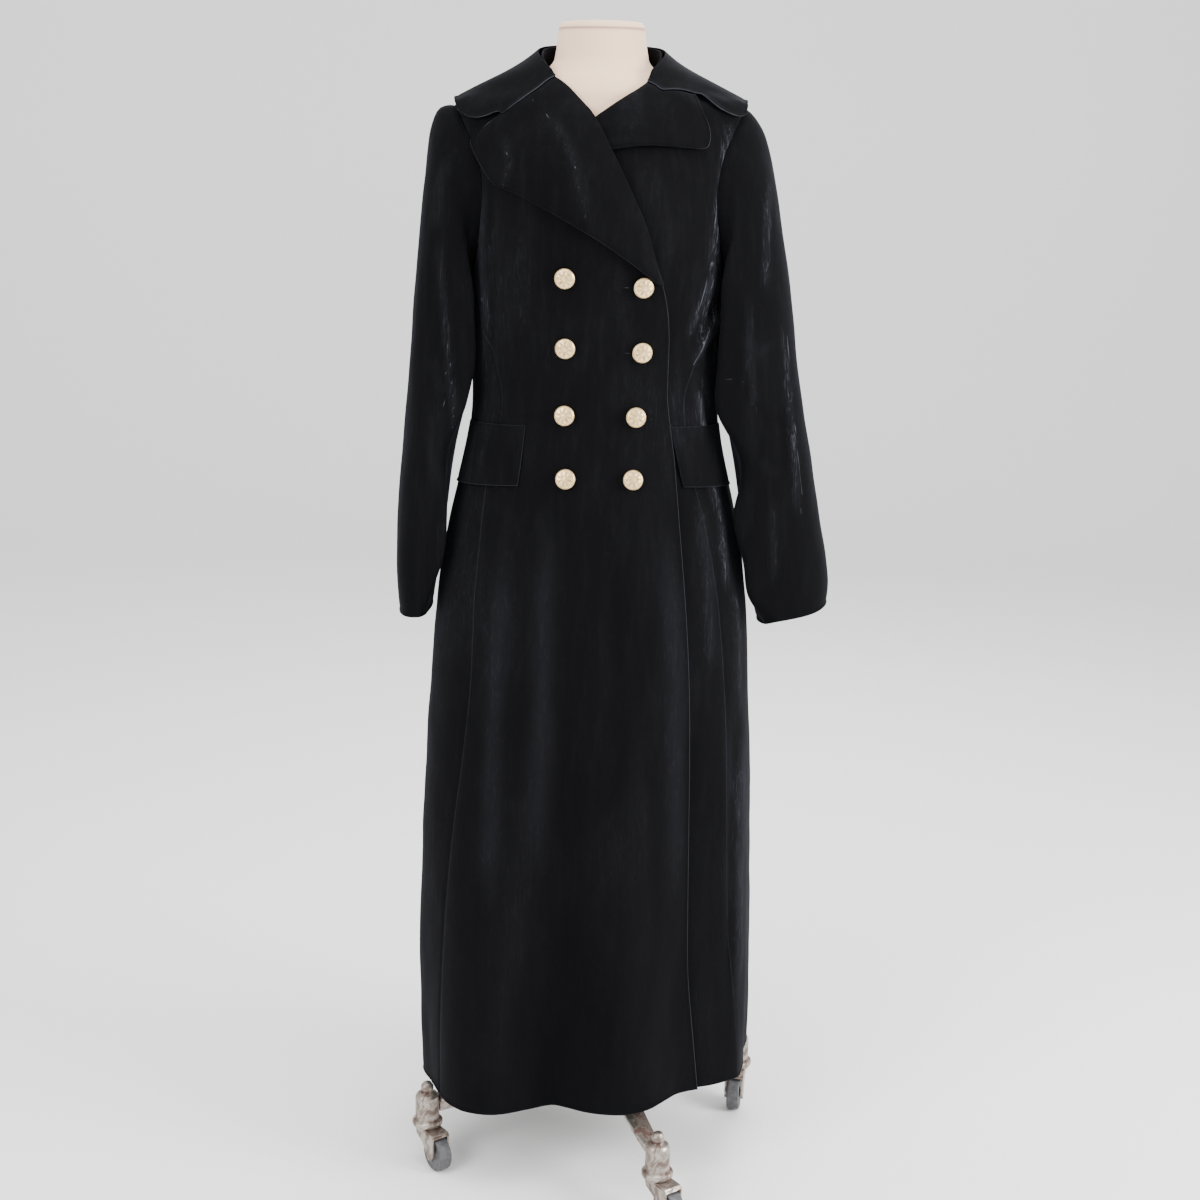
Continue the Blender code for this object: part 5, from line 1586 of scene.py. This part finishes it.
def linked_item(name, mesh):
    """Smooth object of a mesh, put in the scene."""
    mesh.shade_smooth()
    item = bpy.data.objects.new(name, mesh)
    bpy.context.scene.collection.objects.link(item)
    return item


def mesh_item(name, bm):
    """Smooth object of a finished bmesh, which is freed."""
    mesh = bpy.data.meshes.new(name)
    bm.to_mesh(mesh)
    bm.free()
    return linked_item(name, mesh)


def skin(bm, rings):
    """Faces between rings of vertices, closed at both ends."""
    sides = len(rings[0])
    for lower, upper in zip(rings, rings[1:]):
        for i in range(sides):
            k = (i + 1) % sides
            bm.faces.new((lower[i], lower[k], upper[k], upper[i]))
    bm.faces.new(list(reversed(rings[0])))
    bm.faces.new(rings[-1])
    bmesh.ops.recalc_face_normals(bm, faces=bm.faces)


def turned_item(name, profile, sides, relief=None):
    """Turned body on Z with a smooth outline; relief(turn, radius) gives its lift and darkness."""
    bm = bmesh.new()
    layer = bm.verts.layers.float.new("recess")
    rings = []
    for radius, height in profile:
        ring = []
        for i in range(sides):
            turn = 2.0 * math.pi * i / sides
            up, dark = relief(turn, radius) if relief else (0.0, 0.0)
            vert = bm.verts.new((radius * math.cos(turn), radius * math.sin(turn), height + up))
            vert[layer] = dark
            ring.append(vert)
        rings.append(ring)
    skin(bm, rings)
    return mesh_item(name, bm)


def smooth_profile(points, step):
    """Finer rows of a turned outline that keep its corners a little soft."""
    fine = []
    for (r0, z0), (r1, z1) in zip(points, points[1:]):
        count = max(1, int(math.ceil(math.hypot(r1 - r0, z1 - z0) / step)))
        for i in range(count):
            fine.append((mixed(r0, r1, i / count), mixed(z0, z1, i / count)))
    fine.append(points[-1])
    for _ in range(2):
        inner = [
            (0.25 * a[0] + 0.5 * b[0] + 0.25 * c[0], 0.25 * a[1] + 0.5 * b[1] + 0.25 * c[1])
            for a, b, c in zip(fine, fine[1:], fine[2:])
        ]
        fine = [fine[0]] + inner + [fine[-1]]
    return fine


def rosette(turn, radius):
    """Plain petals round a raised ring and boss: lift, and how dark the ground is."""
    if radius > DOME_RADIUS:
        return 0.0, 0.15
    share = radius / DOME_RADIUS
    petal = 0.5 + 0.5 * math.cos(PETALS * turn)
    band = math.exp(-((share - 0.62) / 0.22) ** 2)
    boss = math.exp(-(share / 0.20) ** 2)
    ring = math.exp(-((share - 0.93) / 0.07) ** 2)
    up = PETAL_RISE * petal * band + BOSS_RISE * boss + RING_RISE * ring
    return up, min(max(1.0 - 1.5 * (petal * band + boss + ring), 0.0), 1.0) * 0.9


def copied_item(name, node, width, segments):
    """A solid's own shape with its sharp edges rounded."""
    bm = bmesh.new()
    bm.from_mesh(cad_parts[node].data)
    bmesh.ops.remove_doubles(bm, verts=bm.verts, dist=1e-6)
    bmesh.ops.dissolve_limit(bm, angle_limit=math.radians(2.0), verts=bm.verts, edges=bm.edges)
    item = mesh_item(name, bm)
    bevel = item.modifiers.new("soft_edges", "BEVEL")
    bevel.width = width
    bevel.segments = segments
    bevel.limit_method = "ANGLE"
    bevel.angle_limit = math.radians(28.0)
    bevel.harden_normals = True
    return item


class COAT_OT_fronts(bpy.types.Operator):
    """Lay the two fronts, which lap at the middle"""

    bl_idname = "coat.fronts"
    bl_label = "Fronts"

    def execute(self, context):
        right = cloth_piece(
            "front_right", front_panel(-1, 13, RIGHT_FRONT_EDGE, overlap_lift),
            velvet_material("velvet_front_right", edge_highlight=0.50),
            seams=("first", "top"), edges=("last", "foot"), lines=BUTTONHOLE_LINES + FRONT_RIGHT_LINES)
        # The wearer's left front gets more painted light, as that side is better lit
        left = cloth_piece(
            "front_left", front_panel(1, 9, LEFT_FRONT_EDGE, no_lift),
            velvet_material("velvet_front_left", painted_light=0.05, edge_highlight=0.4),
            seams=("first", "top"), edges=("last", "foot"), lines=FRONT_LEFT_LINES)
        return {"FINISHED"}


class COAT_OT_backs(bpy.types.Operator):
    """Lay the two halves of the back and the side panels"""

    bl_idname = "coat.backs"
    bl_label = "Backs and sides"

    def execute(self, context):
        borders = {"seams": ("first", "last", "top"), "edges": ("foot",)}
        # Painted light: the wearer's left side panel gets more, as that side is better lit
        for side, word, painted_light in ((-1, "right", 0.03), (1, "left", 0.10)):
            back = cloth_piece(
                "back_" + word, back_panel(side, 7),
                velvet_material("velvet_back_" + word, painted_light=0.03, edge_highlight=0.4), **borders)
            panel = cloth_piece(
                "side_" + word, side_panel(side, 6),
                velvet_material("velvet_side_" + word, painted_light=painted_light, edge_highlight=0.4), **borders)
        return {"FINISHED"}


class COAT_OT_sleeves(bpy.types.Operator):
    """Hang the two set-in sleeves"""

    bl_idname = "coat.sleeves"
    bl_label = "Sleeves"

    def execute(self, context):
        # Painted light: the wearer's left sleeve gets more, as that side is better lit
        sleeves = (
            (-1, "right", 0.03, SLEEVE_RIGHT, SLEEVE_RIGHT_CREASES, SLEEVE_RIGHT_LINES),
            (1, "left", 0.10, SLEEVE_LEFT, SLEEVE_LEFT_CREASES, SLEEVE_LEFT_LINES),
        )
        for side, word, painted_light, rows, creases, lines in sleeves:
            item = cloth_piece(
                "sleeve_" + word, sleeve(side, rows, 6),
                velvet_material("velvet_sleeve_" + word, painted_light=painted_light, edge_highlight=0.5),
                seams=("foot",), edges=("top",), closed=True, creases=creases, body=False, lines=lines)
            "back_%s_cloth" % word
        return {"FINISHED"}


class COAT_OT_collar(bpy.types.Operator):
    """Turn back the lapels and lay the collar over its stand"""

    bl_idname = "coat.collar"
    bl_label = "Collar and lapels"

    def execute(self, context):
        material = velvet_material("velvet_collar", painted_light=0.02, edge_highlight=0.8)
        right = cloth_piece(
            "lapel_right", lapel(-1, RIGHT_LAPEL, RIGHT_FRONT_EDGE, RIGHT_GORGE), material,
            seams=("top",), edges=("last",), creases=LAPEL_CREASES, crumple=0.25, body=False,
            lines=LAPEL_LINES)
        # Painted light: the wearer's left lapel gets more, as that side is better lit
        left = cloth_piece(
            "lapel_left", lapel(1, LEFT_LAPEL, LEFT_FRONT_EDGE, LEFT_GORGE),
            velvet_material("velvet_lapel_left", painted_light=0.14, edge_highlight=0.8),
            seams=("top",), edges=("last", "foot"), crumple=0.2, body=False)
        fall = cloth_piece(
            "collar", collar(), material, edges=("last", "top", "foot"), crumple=0.3, body=False)
        band = cloth_piece("collar_stand", collar_stand(), material, crumple=0.0, body=False)
        return {"FINISHED"}


class COAT_OT_flaps(bpy.types.Operator):
    """Lay the pocket flaps"""

    bl_idname = "coat.flaps"
    bl_label = "Pocket flaps"

    def execute(self, context):
        for side, word, lift in ((-1, "right", overlap_lift), (1, "left", no_lift)):
            item = cloth_piece(
                "flap_" + word, flap(side, lift),
                velvet_material("velvet_flap_" + word, painted_light=0.03, edge_highlight=0.34),
                seams=("top", "first", "last"), edges=("foot",), crumple=0.2, body=False)
        return {"FINISHED"}


class COAT_OT_buttons(bpy.types.Operator):
    """Set the eight domed buttons"""

    bl_idname = "coat.buttons"
    bl_label = "Buttons"

    def execute(self, context):
        material = gold_material()
        profile = list(BUTTON_RIM)
        for i in range(1, DOME_ROWS):
            share = i / DOME_ROWS
            height = BUTTON_RIM[-1][1] + DOME_RISE * (1.0 - (1.0 - share) ** 2)
            profile.append((DOME_RADIUS * (1.0 - share), height))
        places = []
        for row in BUTTONS:
            places += [(row.right_column, row.height), (row.left_column, row.left_height)]
        for number, (across, height) in enumerate(places, 1):
            name = "button_%d" % number
            angle = angle_at(across, height)
            item = turned_item(name + "_gold", profile, 72, rosette)
            turn = body_normal(angle, height).to_track_quat("Z", "Y")
            foot = cloth_point(angle, height, overlap_lift(angle, height)) + MIDDLE
            spin = Matrix.Rotation(BUTTON_SPIN * number, 4, "Z")
            item.matrix_world = Matrix.Translation(foot) @ turn.to_matrix().to_4x4() @ spin
            bpy.context.view_layer.update()
            stand_for(item, material, ROOT_BODY, name)
        return {"FINISHED"}


class COAT_OT_form(bpy.types.Operator):
    """Cover the dress form with knit cloth"""

    bl_idname = "coat.form"
    bl_label = "Dress form"

    def execute(self, context):
        heights = [mixed(FORM_BOTTOM, SHOULDER_FOOT, i / 60.0) for i in range(60)]
        heights += [mixed(SHOULDER_FOOT, NECK_SHOULDER, i / 34.0) for i in range(35)]
        rings = [form_ring(height) for height in heights]
        top = rings[-1]
        for i in range(1, 13):
            turn = 0.5 * math.pi * i / 13.0
            height = NECK_SHOULDER + (NECK_TOP - NECK_SHOULDER) * math.sin(turn) ** 0.9
            share = 1.0 - 0.20 * (1.0 - math.cos(turn)) - 0.55 * max(i - 8, 0) / 5.0
            rings.append([Vector((p.x * share, p.y * share, height)) for p in top])
        bm = bmesh.new()
        braid = bm.verts.layers.float.new("braid")
        painted_torso_shade = bm.verts.layers.float.new("painted_torso_shade")
        loops = []
        for number, ring in enumerate(rings):
            loop = [bm.verts.new(point + MIDDLE) for point in ring]
            for vert in loop:
                vert[braid] = math.exp(-((number - len(heights) - 1) / 0.9) ** 2)
                # Painted shade on the form below the neck, where the coat hides it
                beside = eased((abs(vert.co.x - MIDDLE.x) - TORSO_SHADE_SIDE) / TORSO_SHADE_FADE)
                edge = mixed(TORSO_SHADE_TOP_FRONT, TORSO_SHADE_TOP_SIDE, beside)
                vert[painted_torso_shade] = eased((edge - vert.co.z) / TORSO_SHADE_FADE)
            loops.append(loop)
        skin(bm, loops)
        cover = mesh_item("dress_form_cover", bm)
        stand_for(cover, form_material(), ROOT_BODY, "dress_form")
        return {"FINISHED"}


class COAT_OT_stand(bpy.types.Operator):
    """Turn the pole, hub and sockets, and cast the legs, forks and wheels"""

    bl_idname = "coat.stand"
    bl_label = "Stand"

    def execute(self, context):
        metal = cast_material("cast_metal", 0.72)
        ruddy = cast_material("cast_metal_ruddy", 0.90)
        wheel_finish = wheel_material()
        pole = turned_item("pole_tube", [(POLE_RADIUS, POLE_FOOT), (POLE_RADIUS, POLE_TOP)], 48)
        hub = turned_item("hub_casting", smooth_profile(HUB_PROFILE, 0.0012), 64)
        for item, node in ((pole, "pole"), (hub, "hub")):
            item.location = MIDDLE
            bpy.context.view_layer.update()
            stand_for(item, metal, ROOT_BODY, node)
        for quarter, word in enumerate(("front", "left", "back", "right")):
            turn = math.radians(-90.0 + CASTER_TURN + 90.0 * quarter)
            place = Vector((math.cos(turn), math.sin(turn), 0.0)) * CASTER_REACH + MIDDLE
            leg = copied_item("leg_%s_casting" % word, "leg_" + word, 0.0012, 3)
            stand_for(leg, ruddy, ROOT_BODY, "leg_" + word)
            socket = turned_item("socket_%s_casting" % word, smooth_profile(SOCKET_PROFILE, 0.0009), 56)
            socket.location = place
            bpy.context.view_layer.update()
            stand_for(socket, metal, ROOT_BODY, "socket_" + word)
            fork = copied_item("fork_%s_casting" % word, "fork_" + word, 0.0005, 2)
            stand_for(fork, metal, "caster_" + word, "fork_" + word)
            wheel = copied_item("wheel_%s_tyre" % word, "wheel_" + word, 0.0006, 3)
            stand_for(wheel, wheel_finish, "roller_" + word, "wheel_" + word)
        return {"FINISHED"}


class COAT_OT_stage(bpy.types.Operator):
    """Set up the floor, the soft light and the camera"""

    bl_idname = "coat.stage"
    bl_label = "Stage"

    def execute(self, context):
        scene = context.scene
        profile = [(FLOOR_FRONT, 0.0), (FLOOR_BACK, 0.0)]
        for i in range(1, 25):
            turn = 0.5 * math.pi * i / 24.0
            along = FLOOR_BACK + FLOOR_CURVE * math.sin(turn)
            profile.append((along, FLOOR_CURVE * (1.0 - math.cos(turn))))
        profile.append((FLOOR_BACK + FLOOR_CURVE, WALL_TOP))
        bm = bmesh.new()
        near = [bm.verts.new((-FLOOR_HALF_WIDTH, along, height)) for along, height in profile]
        far = [bm.verts.new((FLOOR_HALF_WIDTH, along, height)) for along, height in profile]
        for i in range(len(profile) - 1):
            bm.faces.new((near[i], far[i], far[i + 1], near[i + 1]))
        bmesh.ops.recalc_face_normals(bm, faces=bm.faces)
        floor = mesh_item("studio_floor", bm)
        paper = Shader("studio_paper")
        speck = paper.noise(3.0, 2.0)
        paper.vary("Base Color", paper.mix(speck * 0.3, (0.93, 0.93, 0.93), (0.91, 0.91, 0.91)))
        paper.fixed(Roughness=0.9, Specular_IOR_Level=0.1)
        dress(floor, paper.material)
        world = bpy.data.worlds.new("studio")
        world.use_nodes = True
        background = world.node_tree.nodes["Background"]
        background.inputs[0].default_value = (1.0, 1.0, 1.0, 1.0)
        background.inputs[1].default_value = SKY_STRENGTH
        scene.world = world
        for row in LAMPS:
            lamp = bpy.data.lights.new(row.name, "AREA")
            lamp.size = row.size
            lamp.energy = row.power
            item = bpy.data.objects.new(row.name, lamp)
            item.location = row.place
            aim = LAMP_AIM - Vector(row.place)
            item.rotation_euler = aim.to_track_quat("-Z", "Y").to_euler()
            scene.collection.objects.link(item)
        camera = bpy.data.cameras.new("camera")
        camera.sensor_width = SENSOR
        camera.lens = FOCAL_PIXELS / FRAME_PIXELS * SENSOR
        camera.shift_x = SHIFT_PIXELS[0] / FRAME_PIXELS
        camera.shift_y = SHIFT_PIXELS[1] / FRAME_PIXELS
        camera.clip_end = 50.0
        item = bpy.data.objects.new("camera", camera)
        turned = Matrix.Rotation(CAMERA_TILT, 4, "X") @ Matrix.Rotation(CAMERA_ROLL, 4, "Z")
        item.matrix_world = Matrix.Translation(MIDDLE + CAMERA_PLACE) @ turned
        scene.collection.objects.link(item)
        scene.camera = item
        return {"FINISHED"}


OPERATORS = (
    COAT_OT_stage,
    COAT_OT_fronts,
    COAT_OT_backs,
    COAT_OT_sleeves,
    COAT_OT_collar,
    COAT_OT_flaps,
    COAT_OT_buttons,
    COAT_OT_form,
    COAT_OT_stand,
)


class COAT_PT_panel(bpy.types.Panel):
    """Steps of the coat, in the order they are run"""

    bl_idname = "COAT_PT_panel"
    bl_label = "Velvet Coat"
    bl_space_type = "VIEW_3D"
    bl_region_type = "UI"
    bl_category = "Coat"

    def draw(self, context):
        layout = self.layout
        for group in (context.scene.coat_sizes, context.scene.coat_colours):
            for key in group.__annotations__:
                layout.prop(group, key)
        for operator in OPERATORS:
            layout.operator(operator.bl_idname)


CLASSES = (CoatSizes, CoatColours) + OPERATORS + (COAT_PT_panel,)


def register():
    """Add the classes, and the settings to each scene."""
    for item in CLASSES:
        bpy.utils.register_class(item)
    bpy.types.Scene.coat_sizes = PointerProperty(type=CoatSizes)
    bpy.types.Scene.coat_colours = PointerProperty(type=CoatColours)


def unregister():
    """Take the settings and the classes away again."""
    del bpy.types.Scene.coat_colours
    del bpy.types.Scene.coat_sizes
    for item in reversed(CLASSES):
        bpy.utils.unregister_class(item)


def main():
    """Run every step in order."""
    register()
    bpy.ops.coat.stage()
    bpy.ops.coat.fronts()
    bpy.ops.coat.backs()
    bpy.ops.coat.sleeves()
    bpy.ops.coat.collar()
    bpy.ops.coat.flaps()
    bpy.ops.coat.buttons()
    bpy.ops.coat.form()
    bpy.ops.coat.stand()


if __name__ == "__main__":
    main()
